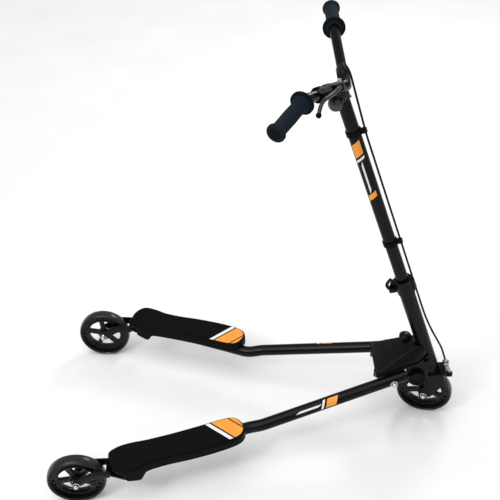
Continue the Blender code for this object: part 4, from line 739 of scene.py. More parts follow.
def cap_nut_mesh(seat, bore, flange_radius):
    """A domed cap nut on a round flange, seated at this height and facing up."""
    flange_top = seat + NUT_FLANGE_THICKNESS
    hex_top = flange_top + NUT_HEX_HEIGHT
    hex_radius = NUT_HEX_SHARE * flange_radius
    dome_radius = NUT_DOME_SHARE * flange_radius
    hexagon = rod(hex_radius, seat + NUT_FLANGE_THICKNESS / 2, hex_top, 6)
    cone = [(0, hex_top + 2 * MM), (0.8 * hex_radius, hex_top + MM), (1.1 * hex_radius, seat), (0, seat)]
    hexagon = combine(hexagon, [turned(cone, 16)], "INTERSECT")
    flange = turned(
        [
            (0, flange_top),
            (0.9 * flange_radius, flange_top),
            (flange_radius, seat + 0.6 * NUT_FLANGE_THICKNESS),
            (flange_radius, seat),
            (0, seat),
        ],
        12,
    )
    dome = turned([*dome_arc(dome_radius, hex_top - 0.4 * MM, 0.75 * dome_radius), (0, flange_top)], 10)
    blind = drill(bore, seat - MM, hex_top - MM, 6)
    return cut(joined(flange, hexagon, dome), blind)


def dome_arc(radius, base, height, steps=6):
    """A quarter of an oval, from the top of a dome down to its rim."""
    angles = [math.radians(90) / steps * k for k in range(steps + 1)]
    return [(radius * math.sin(a), base + height * math.cos(a)) for a in angles]


def axle_mesh(blade_out):
    """An axle bolt: a domed flange head at the bottom, and a plain end inside the cap nut at the top."""
    head = -blade_out - CLEAR
    end = blade_out + NUT_FLANGE_THICKNESS + NUT_HEX_HEIGHT - 2 * MM
    low = head - NUT_FLANGE_THICKNESS
    button = [(radius, -height) for radius, height in dome_arc(0.85 * AXLE_NUT_FLANGE, -low, 4 * MM)]
    shank = [(0, end), (AXLE_RADIUS, end), (AXLE_RADIUS, head)]
    return turned([*shank, (AXLE_NUT_FLANGE, head), (AXLE_NUT_FLANGE, low), *reversed(button)], 16)


TYRE_MESH = tyre_mesh()
RIM_MESH = rim_mesh()
BEARINGS_MESH = bearings_mesh()


def wheel(where, hub, spoke_angle, tyre_angle=0.0):
    """Tyre, rim and bearings round the Y axis of the hub's frame."""
    piece(f"{where}_tyre", TYRE_MESH.copy(), TYRE, hub, turn=(SIDEWAYS, -tyre_angle, 0))
    piece(f"{where}_rim", RIM_MESH.copy(), RIM, hub, turn=(SIDEWAYS, -spoke_angle, 0))
    piece(f"{where}_bearings", BEARINGS_MESH.copy(), STEEL, hub, turn=ON_Y)


# Steering axis and its frame: X forward, Y left, Z up the axis

FRONT_LEAN = math.asin(math.sin(AXIS_RAKE) * math.sin(abs(STEER_TURN)))
FRONT_AXLE_S = (
    tread_drop(FRONT_LEAN) + FRONT_OFFSET * math.cos(STEER_TURN) * math.sin(AXIS_RAKE)
) / math.cos(AXIS_RAKE)
AXIS_FRAME = Matrix.Translation((AXIS_BASE_X, 0, 0)) @ Matrix.Rotation(-AXIS_RAKE, 4, "Y")
STEERED = AXIS_FRAME @ Matrix.Rotation(STEER_TURN, 4, "Z")
FRONT_CENTRE = STEERED @ Vector((-FRONT_OFFSET, 0, FRONT_AXLE_S))
ORIGIN_X = FRONT_CENTRE.x / 2

whole = placed(at=(-ORIGIN_X, 0, 0))
steering_axis = placed(whole, (AXIS_BASE_X, 0, 0), (0, -AXIS_RAKE, 0))
steered = placed(steering_axis, turn=(0, 0, STEER_TURN))


# Yoke


def plate_height(x):
    """Height of the plate's underside at this distance forward."""
    return PLATE_REAR_Z + (x - ARM_REAR_X) * ARM_RISE


def head_x(z):
    """Forward place of the steering axis at this height."""
    return AXIS_BASE_X - z * math.tan(AXIS_RAKE)


def cover_mesh(front_x):
    """The sloping cover: the hull of its foot on the plate, its ridge, and its low rear edge."""
    inset = 3 * MM
    foot = [
        (ARM_REAR_X + inset, PLATE_REAR_HALF - 2 * inset),
        (PLATE_SHOULDER_X - inset, PLATE_SHOULDER_HALF - inset),
        (front_x - inset, PLATE_FRONT_HALF - inset),
    ]
    stations = [(x, y, plate_height(x) + PLATE_THICKNESS / 2) for x, y in foot]
    stations.append((COVER_RIDGE_X, COVER_RIDGE_HALF, COVER_RIDGE_Z))
    stations.append((head_x(COVER_RIDGE_Z), COVER_RIDGE_HALF * 0.7, COVER_RIDGE_Z))
    stations.append((ARM_REAR_X + inset, PLATE_REAR_HALF - 3 * inset, PLATE_REAR_Z + 9 * MM))
    return bevelled(hull([Vector((x, y * sign, z)) for x, y, z in stations for _, sign in SIDES]), 3 * MM, 3)


def yoke_mesh():
    front_x = head_x(plate_height(COVER_RIDGE_X))
    corners = [
        (ARM_REAR_X, PLATE_REAR_HALF),
        (PLATE_SHOULDER_X, PLATE_SHOULDER_HALF),
        (front_x, PLATE_FRONT_HALF),
    ]
    outline = rounded(both_halves(corners), [6 * MM, 8 * MM, 4 * MM, 4 * MM, 8 * MM, 6 * MM], 2)
    shear = Matrix.Identity(4)
    shear[2][0] = ARM_RISE
    foot = Matrix.Translation((0, 0, PLATE_REAR_Z - ARM_REAR_X * ARM_RISE))
    plate = set_in(slab(outline, 0, PLATE_THICKNESS), foot @ shear)
    knob = [*dome_arc(KNOB_RADIUS, 0, KNOB_HEIGHT), (KNOB_RADIUS, -KNOB_HEIGHT), (0, -KNOB_HEIGHT)]
    knob = moved(turned(knob, 14), at=(COVER_RIDGE_X - KNOB_RADIUS, COVER_RIDGE_HALF - 2 * MM, COVER_RIDGE_Z))
    head = set_in(rod(HEAD_RADIUS, HEAD_LOW, HEAD_HIGH, TUBE_SEGMENTS), AXIS_FRAME)
    bore = drill(STEERER_RADIUS + CLEAR, HEAD_LOW - THROUGH, HEAD_HIGH + 5 * MM, TUBE_SEGMENTS)
    body = joined(plate, cover_mesh(front_x), knob, head, knuckle_mesh(), *ear_meshes(), *rear_lugs())
    trim = rod(60 * MM, HEAD_LOW - 60 * MM, HEAD_LOW - CLEAR, 12)
    return cut(body, set_in(bore, AXIS_FRAME), set_in(trim, AXIS_FRAME))


def knuckle_mesh():
    """The downward channel behind the head tube that carries the two round bolt covers."""
    top = plate_height(COVER_RIDGE_X) + PLATE_THICKNESS / 2
    rear = CAP_X - 27 * MM
    front = head_x(HEAD_LOW)
    outline = rounded(
        [
            (rear - 6 * MM, top - 4 * MM),
            (rear + 4 * MM, CAP_Z - 6 * MM),
            (rear + 16 * MM, CAP_Z - 15 * MM),
            (front - 20 * MM, CAP_Z - 12 * MM),
            (front - 14 * MM, CAP_Z - 4 * MM),
            (front - 14 * MM, top),
        ],
        [0, 8 * MM, 6 * MM, 4 * MM, 0, 0],
        2,
    )
    solid = bevelled(side_slab(outline, -KNUCKLE_HALF, KNUCKLE_HALF), 1.5 * MM, 3)
    inside = KNUCKLE_HALF - KNUCKLE_WALL
    hollow = box(
        (front - rear, 2 * inside, top - CAP_Z + 6 * MM),
        at=((rear + front) / 2 - 20 * MM, 0, (CAP_Z - 18 * MM + top - 12 * MM) / 2),
    )
    return cut(solid, hollow)


def arm_line(x):
    """Centre of the arm tube in front of the deck, on the left side."""
    along = x - ARM_REAR_X
    return Vector((x, ARM_REAR_Y + along * ARM_SLOPE, ARM_REAR_Z + along * ARM_RISE))


ARM_YAW = math.atan(ARM_SLOPE)
BOLT_TURN = (-SIDEWAYS, 0, ARM_YAW)  # the bolt's own axis points outward, square to the arm


def ear_meshes():
    """The two upright ears under the plate that the arm bolts go through."""
    side, out = 34 * MM, ARM_RADIUS + CLEAR + EAR_THICKNESS / 2
    ear = box((side, EAR_THICKNESS, side), (0, -out, -2 * MM), 0.8 * MM)
    ear = cut(ear, cross_hole(ARM_BOLT_RADIUS + CLEAR, (0, 0, 0), 2 * THROUGH))
    ear = set_in(ear, placed(at=arm_line(ARM_BOLT_X), turn=(0, 0, ARM_YAW)))
    return [ear, mirrored_mesh(ear)]


def rear_lugs():
    """Two small lugs under the plate's rear edge."""
    lug = rod(6 * MM, PLATE_REAR_Z - 18 * MM, PLATE_REAR_Z + 2 * MM, 12)
    return [moved(lug.copy(), at=(ARM_REAR_X + 4 * MM, 38 * MM * sign, 0)) for _, sign in SIDES]


def bolt_cover_mesh():
    """A round cap with fins round its rim and a small screw head in its face."""
    rim = CAP_RADIUS - 1.5 * MM
    body = turned(
        [
            (0, CAP_DEPTH - 0.6 * MM),
            (rim - 6 * MM, CAP_DEPTH - 0.6 * MM),
            (rim - 5 * MM, CAP_DEPTH),
            (rim - 2.2 * MM, CAP_DEPTH),
            (rim - 0.7 * MM, CAP_DEPTH - 0.6 * MM),
            (rim, CAP_DEPTH - 2 * MM),
            (rim, 0),
            (0, 0),
        ],
        20,
    )
    fin = box((3 * MM, 2 * MM, CAP_DEPTH - 3 * MM), (rim, 0, CAP_DEPTH / 2), 0.5 * MM)
    slot = box((4 * MM, 0.8 * MM, 2 * MM), (0, 0, CAP_DEPTH + MM))
    screw = cut(rod(2.5 * MM, CAP_DEPTH - 2 * MM, CAP_DEPTH + 0.6 * MM, 8), slot)
    return joined(body, copies_around(fin, CAP_FINS), moved(screw, at=(0, 12 * MM, 0)))


def front_frame():
    piece("front_yoke", yoke_mesh(), PAINT, whole)
    cup_bore = STEERER_RADIUS + CLEAR
    for name, low, high in (
        ("lower", CROWN_HIGH + CLEAR, HEAD_LOW - 2 * CLEAR),
        ("upper", HEAD_HIGH + CLEAR, COLLAR_LOW - CLEAR),
    ):
        cup = ring(HEAD_RADIUS + 2 * MM, cup_bore, low, high, TUBE_SEGMENTS)
        piece(f"headset_cup_{name}", cup, PAINT, steering_axis, edge=0.5 * MM)


# Arms, decks and casters, drawn for the left side

CASTER_LEAN = math.asin(math.sin(abs(CASTER_TURN)) * math.sin(KINGPIN_LEAN))
KINGPIN_Z = (
    tread_drop(CASTER_LEAN)
    + CASTER_DROP * math.cos(KINGPIN_LEAN)
    - CASTER_TRAIL * math.cos(CASTER_TURN) * math.sin(KINGPIN_LEAN)
)
KINGPIN = Vector((KINGPIN_AHEAD_OF_AXLE, KINGPIN_HALF_TRACK, KINGPIN_Z))
KINGPIN_FRAME = Matrix.Translation(KINGPIN) @ Matrix.Rotation(KINGPIN_LEAN, 4, "Y")
CUP_BORE = CUP_RADIUS - CUP_WALL


def arm_route():
    """Centre line of the arm tube from the kingpin to its front end."""
    toe = Vector((ARM_TOE_X, ARM_TOE_Y, ARM_DECK_HEIGHT))
    ahead = arm_line(ARM_TOE_X + 60 * MM)
    flat = (toe - KINGPIN).normalized()
    rise = (arm_line(ARM_REAR_X) - ahead).normalized()
    reach = (ahead - toe).length * 0.4
    corner = [toe, toe + flat * reach, ahead - rise * reach, ahead]
    steps = 20
    curve = [bezier(corner, k / steps) for k in range(steps + 1)]
    return [KINGPIN, *curve, arm_line(ARM_REAR_X), arm_line(ARM_END_X)]


def bezier(points, t):
    a, b, c, d = points
    u = 1 - t
    return a * u ** 3 + b * 3 * u * u * t + c * 3 * u * t * t + d * t ** 3


def arm_mesh():
    route = arm_route()
    outside = tube(route, ARM_RADIUS)
    past_end = route[-1] + (route[-1] - route[-2]) * 0.1
    inside = tube([*route[:-1], past_end], ARM_RADIUS - ARM_WALL, resolution=2)
    cup = set_in(rod(CUP_RADIUS, -CUP_BELOW, CUP_ABOVE, 16), KINGPIN_FRAME)
    bore = set_in(drill(CUP_BORE, -CUP_BELOW - THROUGH, CUP_ABOVE + THROUGH, 16), KINGPIN_FRAME)
    bolt = drill(ARM_BOLT_RADIUS + CLEAR, -2 * THROUGH, 2 * THROUGH)
    return cut(joined(outside, cup), inside, bore, moved(bolt, arm_line(ARM_BOLT_X), BOLT_TURN))


def deck_loop():
    """Outline of the deck in its own plan frame: forward from the kingpin, and outward."""
    inner = [(-43, -14), (-39, -37), (-12, -48), (22, -49), (60, -45), (130, -43), (200, -44), (262, -45)]
    toe = [(287, -34), (297, -6), (290, 17)]
    outer = [(269, 31), (220, 37), (150, 37), (90, 33), (45, 34), (10, 41), (-24, 40), (-42, 16)]
    return smooth_loop(in_mm(inner + toe + outer), 6)


def in_mm(points):
    """Points given in millimetres."""
    return [Vector(point) * MM for point in points]


def inset_loop(outline, inset, inner_inset):
    """The outline moved inward by a distance, or by another distance where it faces the other deck."""
    made = []
    count = len(outline)
    for i in range(count):
        before, here, after = (Vector(outline[(i + k) % count]) for k in (-1, 0, 1))
        along = (after - before).normalized()
        distance = inset + max(0, along.x) * (inner_inset - inset)
        made.append(tuple(here + Vector((-along.y, along.x)) * distance))
    return made


def deck_frame():
    return Matrix.Translation((KINGPIN.x, KINGPIN.y, 0)) @ Matrix.Rotation(DECK_TURN, 4, "Z")


def skirt_depth(x):
    """Depth of the deck's skirt at this distance forward of the kingpin."""
    if x < HEEL_REAR:
        return 8 * MM
    if x < HEEL_FRONT:
        return HEEL_SKIRT - 13 * MM * (HEEL_FRONT - x) / (HEEL_FRONT - HEEL_REAR)
    if x < HEEL_FRONT + HEEL_RAMP:
        return HEEL_SKIRT + (DECK_SKIRT - HEEL_SKIRT) * (x - HEEL_FRONT) / HEEL_RAMP
    return DECK_SKIRT


def deck_mesh():
    """An inverted tray: a top with a drawn skirt, thin walled, and two ribs that sit on the arm."""
    outline = deck_loop()
    bm = bmesh.new()
    shoulder = 3 * MM
    rows = []
    for a in (math.radians(18) * k for k in range(6)):
        inset = shoulder * (1 - math.sin(a))
        height = DECK_TOP - shoulder * (1 - math.cos(a))
        rows.append([bm.verts.new((x, y, height)) for x, y in inset_loop(outline, inset, inset)])
    foot = inset_loop(outline, -SKIRT_FLARE, -SKIRT_FLARE)
    rows.append([bm.verts.new((x, y, DECK_TOP - skirt_depth(x))) for x, y in foot])
    bm.faces.new(rows[0])
    count = len(outline)
    for upper, lower in zip(rows, rows[1:]):
        for i in range(count):
            j = (i + 1) % count
            bm.faces.new((upper[i], lower[i], lower[j], upper[j]))
    bmesh.ops.recalc_face_normals(bm, faces=bm.faces)
    if next(f for f in bm.faces if len(f.verts) == count).normal.z < 0:
        bmesh.ops.reverse_faces(bm, faces=bm.faces)
    shell = modified(finished(bm), "SOLIDIFY", thickness=DECK_WALL, offset=-1, use_even_offset=True)
    height = DECK_SKIRT - DECK_WALL
    ribs = [
        set_in(box((DECK_RIB, 2 * half, height), at=(x, -5 * MM, DECK_TOP - MM - height / 2)), deck_frame())
        for x, half in ((75 * MM, 29 * MM), (250 * MM, 33 * MM))
    ]
    arm_room = tube(arm_route()[:20], ARM_RADIUS + 2 * CLEAR)
    cup_room = drill(CUP_RADIUS + MM, -CUP_BELOW - 30 * MM, CUP_ABOVE + 3 * MM, 16)
    return cut(joined(set_in(shell, deck_frame()), *ribs), arm_room, set_in(cup_room, KINGPIN_FRAME))


LOZENGE_PITCH_X = 5.4 * MM
LOZENGE_PITCH_Y = 3.4 * MM
LOZENGE_HALF = (1.9 * MM, 0.95 * MM)
LOZENGE_HEIGHT = 0.55 * MM
BLOCKS_START = 205 * MM  # where the coloured blocks begin at the deck's inner edge
BLOCKS_LEAN = 0.62  # how far their edges lean forward per length outward
PAD_TOP = DECK_TOP + CLEAR + PAD_THICKNESS


def pad_outline(inset):
    return inset_loop(deck_loop(), PAD_INSET + inset, PAD_INNER_INSET + inset)


def within(x, y, outline):
    inside = False
    for i, (x1, y1) in enumerate(outline):
        x0, y0 = outline[i - 1]
        if (y0 > y) != (y1 > y) and x < x0 + (y - y0) * (x1 - x0) / (y1 - y0):
            inside = not inside
    return inside


def pad_mesh():
    """The deck's grip pad: a rubber sheet with a soft edge and rows of raised lozenges."""
    sheet = bevelled(slab(pad_outline(0), DECK_TOP + CLEAR, PAD_TOP - LOZENGE_HEIGHT), 0.7 * MM)
    bm = bmesh.new()
    bm.from_mesh(sheet)
    room = pad_outline(3 * MM)
    for i in range(-8, 56):
        for j in range(-15, 13):
            x = i * LOZENGE_PITCH_X
            y = (j + (i % 2) / 2) * LOZENGE_PITCH_Y
            if within(x, y, room) and x < block_edge(y, -3 * MM):
                add_lozenge(bm, x, y)
    return set_in(finished(bm), deck_frame())


def add_lozenge(bm, x, y):
    base = PAD_TOP - LOZENGE_HEIGHT - 0.3 * MM
    rings = []
    for height, share in ((base, 1.0), (PAD_TOP, 0.45)):
        hx, hy = LOZENGE_HALF[0] * share, LOZENGE_HALF[1] * share
        corners = ((hx, 0), (0, hy), (-hx, 0), (0, -hy))
        rings.append([bm.verts.new((x + dx, y + dy, height)) for dx, dy in corners])
    bm.faces.new(rings[1])
    bm.faces.new(reversed(rings[0]))
    for k in range(4):
        bm.faces.new((rings[0][k], rings[0][(k + 1) % 4], rings[1][(k + 1) % 4], rings[1][k]))


def block_edge(y, shift):
    """Forward place of a coloured block's edge at this distance outward."""
    return BLOCKS_START + shift + (y + 40 * MM) * BLOCKS_LEAN


def block_mesh(start, end):
    """A flat coloured block across the pad's toe, between two leaning straight edges."""
    low, high = PAD_TOP - LOZENGE_HEIGHT - 0.4 * MM, PAD_TOP - 0.1 * MM
    side = 60 * MM
    ends = ((-side, start), (-side, end), (side, end), (side, start))
    corners = [(block_edge(y, shift), y) for y, shift in ends]
    room = slab(pad_outline(1.6 * MM), low - MM, high + MM)
    return set_in(combine(slab(corners, low, high), [room], "INTERSECT"), deck_frame())


def caster_fork_mesh():
    """Crown plate under the kingpin cup and two trailing blades, in the kingpin's frame."""
    inner = WHEEL_WIDTH / 2 + BLADE_CLEARANCE
    outer = inner + CASTER_BLADE
    top = -CUP_BELOW - 2 * CLEAR
    low = top - CROWN_THICKNESS
    front = arc_points(CUP_RADIUS, [math.radians(14 * k) for k in range(-6, 7)])
    crown = bevelled(slab([*front, (-50 * MM, outer), (-50 * MM, -outer)], low, top), MM)
    axle_x, axle_z = -CASTER_TRAIL, -CASTER_DROP
    blade = [
        (-36 * MM, low - 4 * MM),
        (-39 * MM, top + 2 * MM),
        (-47 * MM, top + 7 * MM),
        (-80 * MM, -30 * MM),
        (axle_x - 8 * MM, axle_z + 16 * MM),
    ]
    turn = [math.radians(a) for a in range(160, 361, 40)]
    blade += arc_points(11 * MM, turn, (axle_x, axle_z))
    blade += [(-72 * MM, -54 * MM)]
    blades = [bevelled(side_slab(blade, side, side + CASTER_BLADE), MM) for side in (inner, -outer)]
    hole = cross_hole(AXLE_RADIUS + CLEAR, (axle_x, 0, axle_z), 2 * outer)
    pin = drill(KINGPIN_RADIUS + CLEAR, low - 5 * MM, top + 5 * MM, 14)
    return cut(joined(crown, *blades), hole, pin)


def kingpin_mesh():
    """The kingpin bolt, with its head over the bearing and its nut under the crown plate."""
    low = -CUP_BELOW - 2 * CLEAR - CROWN_THICKNESS - CLEAR
    head = CUP_ABOVE + CLEAR
    nut_end = low - 6 * MM
    return turned(
        [
            (0, head + 5 * MM),
            (BOLT_HEAD_RADIUS, head + 4 * MM),
            (BOLT_HEAD_RADIUS, head),
            (KINGPIN_RADIUS, head),
            (KINGPIN_RADIUS, low),
            (BOLT_HEAD_RADIUS, low),
            (BOLT_HEAD_RADIUS, nut_end),
            (0, nut_end),
        ],
        12,
    )


def caster_bearing_mesh():
    """The bearing sleeve between the cup and the kingpin."""
    return ring(CUP_BORE - CLEAR, KINGPIN_RADIUS + CLEAR, -CUP_BELOW - CLEAR, CUP_ABOVE, 16)


def arm_bolt_mesh():
    """The bolt through an arm and its ear, with its round head at the bottom."""
    nut_seat = ARM_RADIUS + CLEAR
    end = nut_seat + 5 * MM
    head = -nut_seat - EAR_THICKNESS - CLEAR
    head_end = -nut_seat - 12 * MM
    return turned(
        [
            (0, end),
            (ARM_BOLT_RADIUS, end),
            (ARM_BOLT_RADIUS, head),
            (BOLT_HEAD_RADIUS, head),
            (BOLT_HEAD_RADIUS, head_end),
            (0, head_end),
        ],
        16,
    )


def flank(side, sign):
    """One arm with its deck and caster. The right one is the mirrored left one."""
    half = whole @ Matrix.Diagonal((1, sign, 1, 1))
    piece(f"arm_tube_{side}", arm_mesh(), PAINT, half)
    rear, toe, outward = arm_line(ARM_REAR_X), arm_line(ARM_TOE_X), Vector((0, 1, 0.75))
    for name, look, low, high, half_angle in (
        ("orange", ORANGE, 100 * MM, 128 * MM, 0.75),
        ("white", WHITE, 134 * MM, 140 * MM, 0.75),
        ("line", WHITE, 146 * MM, 205 * MM, 0.16),
    ):
        mesh = film(rear, toe, ARM_RADIUS, low, high, outward, half_angle, FILM_SLANT)
        added(f"arm_film_{name}_{side}", mesh, look, "chassis", half)
    piece(f"deck_{side}", deck_mesh(), PLASTIC, half)
    piece(f"deck_pad_{side}", pad_mesh(), PAD, half)
    for name, look, start, end in (
        ("white", WHITE, 0, 11 * MM),
        ("orange", ORANGE, 16 * MM, 58 * MM),
        ("tip", ORANGE, 62 * MM, 120 * MM),
    ):
        added(f"deck_block_{name}_{side}", block_mesh(start, end), look, "chassis", half)
    bolt_at = arm_line(ARM_BOLT_X)
    piece(f"arm_bolt_{side}", arm_bolt_mesh(), STEEL, half, bolt_at, BOLT_TURN)
    nut = cap_nut_mesh(ARM_RADIUS + CLEAR, ARM_BOLT_RADIUS + CLEAR, ARM_NUT_FLANGE)
    piece(f"arm_nut_{side}", nut, CHROME, half, bolt_at, BOLT_TURN)
    cap_at = (CAP_X, KNUCKLE_HALF + CLEAR, CAP_Z)
    piece(f"bolt_cover_{side}", bolt_cover_mesh(), PLASTIC, half, cap_at, (-SIDEWAYS, 0, 0))

    kingpin = placed(half, KINGPIN, (0, KINGPIN_LEAN, 0))
    piece(f"caster_bearing_{side}", caster_bearing_mesh(), STEEL, kingpin)
    caster = placed(kingpin, turn=(0, 0, CASTER_TURN))
    piece(f"caster_fork_{side}", caster_fork_mesh(), PAINT, caster)
    piece(f"kingpin_{side}", kingpin_mesh(), STEEL, caster)

    hub = placed(caster, (-CASTER_TRAIL, 0, -CASTER_DROP), (0, -KINGPIN_LEAN, 0))
    facing = (SIDEWAYS * sign, 0, 0)  # both nuts face right
    blade_out = WHEEL_WIDTH / 2 + BLADE_CLEARANCE + CASTER_BLADE
    axle_set(f"rear_axle_{side}", f"rear_axle_nut_{side}", blade_out, hub, facing)
    wheel(f"rear_{side}", hub, SPOKE_ANGLE_LEFT if sign > 0 else SPOKE_ANGLE_RIGHT)


# Fork, front wheel and brake


def axle_set(bolt_name, nut_name, blade_out, hub, facing):
    """An axle bolt and its cap nut, through two blades."""
    piece(bolt_name, axle_mesh(blade_out), CHROME, hub, turn=facing)
    nut = cap_nut_mesh(blade_out + CLEAR, AXLE_RADIUS + CLEAR, AXLE_NUT_FLANGE)
    piece(nut_name, nut, CHROME, hub, turn=facing)


def shield_outline():
    """The side plate of the front fork, round the axle's end and up to the crown."""
    outline = rounded(
        [
            (-17 * MM, CROWN_HIGH),
            (31 * MM, CROWN_HIGH),
            (30 * MM, 144 * MM),
            (13 * MM, 113 * MM),
            (-8 * MM, 93 * MM),
            (-24 * MM, 80 * MM),
        ],
        [0, 0, 6 * MM, 14 * MM, 14 * MM, 0],
        2,
    )
    arc = [math.radians(a) for a in range(330, 129, -40)]
    outline += arc_points(13 * MM, arc, (-FRONT_OFFSET, FRONT_AXLE_S))
    return [*outline, (-33 * MM, 113 * MM), (-21 * MM, 136 * MM)]


def pin_ear_outline():
    """An ear for the brake's pin, hanging from the crown."""
    end = 6 * MM
    low = CROWN_LOW + 2 * MM
    arc = ((-1, 0), (-0.7, -0.7), (0, -1), (0.7, -0.7), (1, 0))
    round_end = [(BRAKE_PIN_Q + q * end, BRAKE_PIN_S + s * end) for q, s in arc]
    return [(BRAKE_PIN_Q - end, low), *round_end, (BRAKE_PIN_Q + end, low)]


def fork_mesh():
    rear, front, narrow = -22 * MM, 36 * MM, CROWN_HALF - 4 * MM
    corners = [(rear, -CROWN_HALF), (front, -narrow), (front, narrow), (rear, CROWN_HALF)]
    crown = slab(rounded(corners, [8 * MM, 6 * MM, 6 * MM, 8 * MM], 2), CROWN_LOW, CROWN_HIGH)
    steerer = rod(STEERER_RADIUS, CROWN_LOW, COLLAR_HIGH, TUBE_SEGMENTS)
    hollow = drill(STEM_RADIUS + CLEAR, CROWN_HIGH + 4 * MM, COLLAR_HIGH + 5 * MM, TUBE_SEGMENTS)
    axle_at = (-FRONT_OFFSET, 0, FRONT_AXLE_S)
    outer = SHIELD_INNER + SHIELD_THICKNESS
    shields = [side_slab(shield_outline(), low, low + SHIELD_THICKNESS) for low in (SHIELD_INNER, -outer)]
    hole = cross_hole(AXLE_RADIUS + CLEAR, axle_at, 2 * outer)
    ear_lows = (PIN_EAR_INNER, -PIN_EAR_INNER - PIN_EAR_THICKNESS)
    ears = [side_slab(pin_ear_outline(), low, low + PIN_EAR_THICKNESS) for low in ear_lows]
    pin = cross_hole(BRAKE_PIN_RADIUS + CLEAR, BRAKE_PIN_AT)
    post = box((4 * MM, 14 * MM, 30 * MM), at=(34 * MM, 0, CROWN_HIGH + 10 * MM))
    stop = box((14 * MM, 12 * MM, STOP_HEIGHT), at=(CABLE_STOP_Q - MM, 0, STOP_MIDDLE), bevel=MM)
    body = joined(crown, steerer, *shields, *ears, post, stop)
    room_half = WHEEL_WIDTH / 2 + 2.5 * MM
    room = moved(rod(WHEEL_RADIUS + 2 * MM, -room_half, room_half, 24), axle_at, ON_Y)
    return cut(body, hollow, hole, pin, stop_bore(STOP_BORE), room)


def polar(radius, degrees):
    """A point round the front axle, in the steering frame's own plane."""
    a = math.radians(degrees)
    return (-FRONT_OFFSET + radius * math.cos(a), FRONT_AXLE_S + radius * math.sin(a))


SHOE_LOW = WHEEL_RADIUS + SHOE_GAP
SHOE_HIGH = SHOE_LOW + SHOE_THICKNESS
SHOE_ANGLES = (37, 41, 45, 49)


def brake_shoe_mesh():
    outline = [polar(SHOE_LOW, a) for a in SHOE_ANGLES] + [polar(SHOE_HIGH, a) for a in reversed(SHOE_ANGLES)]
    return side_slab(outline, -SHOE_HALF, SHOE_HALF)


def stop_bore(radius):
    """The hole down through the cable stop."""
    return moved(drill(radius, -THROUGH, THROUGH, 10), at=(CABLE_STOP_Q, 0, STOP_MIDDLE))


def brake_arm_mesh():
    """The brake's rocking arm: a spoon over the shoe, an eye on the pin, and the wire's anchor in front."""
    under = SHOE_HIGH + CLEAR
    outline = [
        *(polar(under, a) for a in SHOE_ANGLES),
        *(polar(under + 3.3 * MM, a) for a in reversed(SHOE_ANGLES[1:])),
        (BRAKE_PIN_Q - 4.5 * MM, BRAKE_PIN_S + 2.5 * MM),
        (BRAKE_PIN_Q, BRAKE_PIN_S + 5.5 * MM),
        (BRAKE_PIN_Q + 5 * MM, BRAKE_PIN_S + 2.5 * MM),
        (BRAKE_PIN_Q + 8 * MM, ANCHOR_S + 3 * MM),
        (ANCHOR_Q + 4.5 * MM, ANCHOR_S + 3 * MM),
        (ANCHOR_Q + 4.5 * MM, ANCHOR_S - 2 * MM),
        (BRAKE_PIN_Q + 2 * MM, BRAKE_PIN_S - 9 * MM),
    ]
    above = Vector((ANCHOR_Q, 0, ANCHOR_S + 20 * MM))
    wire_room = tube([WIRE_FOOT, above], WIRE_RADIUS + 1.3 * MM)
    pin = cross_hole(BRAKE_PIN_RADIUS + CLEAR, BRAKE_PIN_AT)
    return cut(side_slab(outline, -ROCKER_HALF, ROCKER_HALF), pin, wire_room)


def spring_route():
    """Centre line of the spring's wire, in the steering frame."""
    low = ANCHOR_S + 3 * MM + SPRING_WIRE + 2 * MM
    high = CABLE_STOP_LOW - CLEAR - SPRING_WIRE
    count = SPRING_TURNS * POINTS_PER_TURN
    route = []
    for k in range(count + 1):
        a = math.tau * k / POINTS_PER_TURN
        t = k / count
        s = low + (high - low) * t
        q = ANCHOR_Q + (CABLE_STOP_Q - ANCHOR_Q) * t
        route.append(Vector((q + SPRING_RADIUS * math.cos(a), SPRING_RADIUS * math.sin(a), s)))
    return route


def least_self_gap(route):
    """The least gap of the spring's wire to itself, between points that are half a turn apart or more."""
    apart = POINTS_PER_TURN // 2
    pairs = [(a, b) for i, a in enumerate(route) for b in route[i + apart :]]
    return min((a - b).length for a, b in pairs) - 2 * SPRING_WIRE


def brake_spring_mesh():
    """A compression spring round the inner wire, between the arm's anchor and the cable stop."""
    route = spring_route()
    print(f"brake_spring: least gap to itself {least_self_gap(route) / MM:.2f} mm")
    return tube(route, SPRING_WIRE, resolution=1)


def front_end():
    piece("fork", fork_mesh(), PAINT, steered)
    hub = placed(steered, (-FRONT_OFFSET, 0, FRONT_AXLE_S))
    axle_set("front_axle", "front_axle_nut", SHIELD_INNER + SHIELD_THICKNESS, hub, ON_Y)
    down = math.atan2(-math.cos(AXIS_RAKE), -math.sin(AXIS_RAKE) * math.cos(STEER_TURN))
    wheel("front", hub, SPOKE_ANGLE_FRONT - AXIS_RAKE, down)
    pivot = placed(steered, BRAKE_PIN_AT)
    pin = rod(BRAKE_PIN_RADIUS, -13 * MM, 13 * MM, 12)
    piece("brake_pin", pin, STEEL, pivot, turn=ON_Y)
    piece("brake_shoe", moved(brake_shoe_mesh(), -BRAKE_PIN_AT), RUBBER, pivot)
    piece("brake_arm", moved(brake_arm_mesh(), -BRAKE_PIN_AT), PAINT, pivot, edge=0.6 * MM)
    piece("brake_spring", brake_spring_mesh(), STEEL, steered)


# Clamp, stem and handlebar


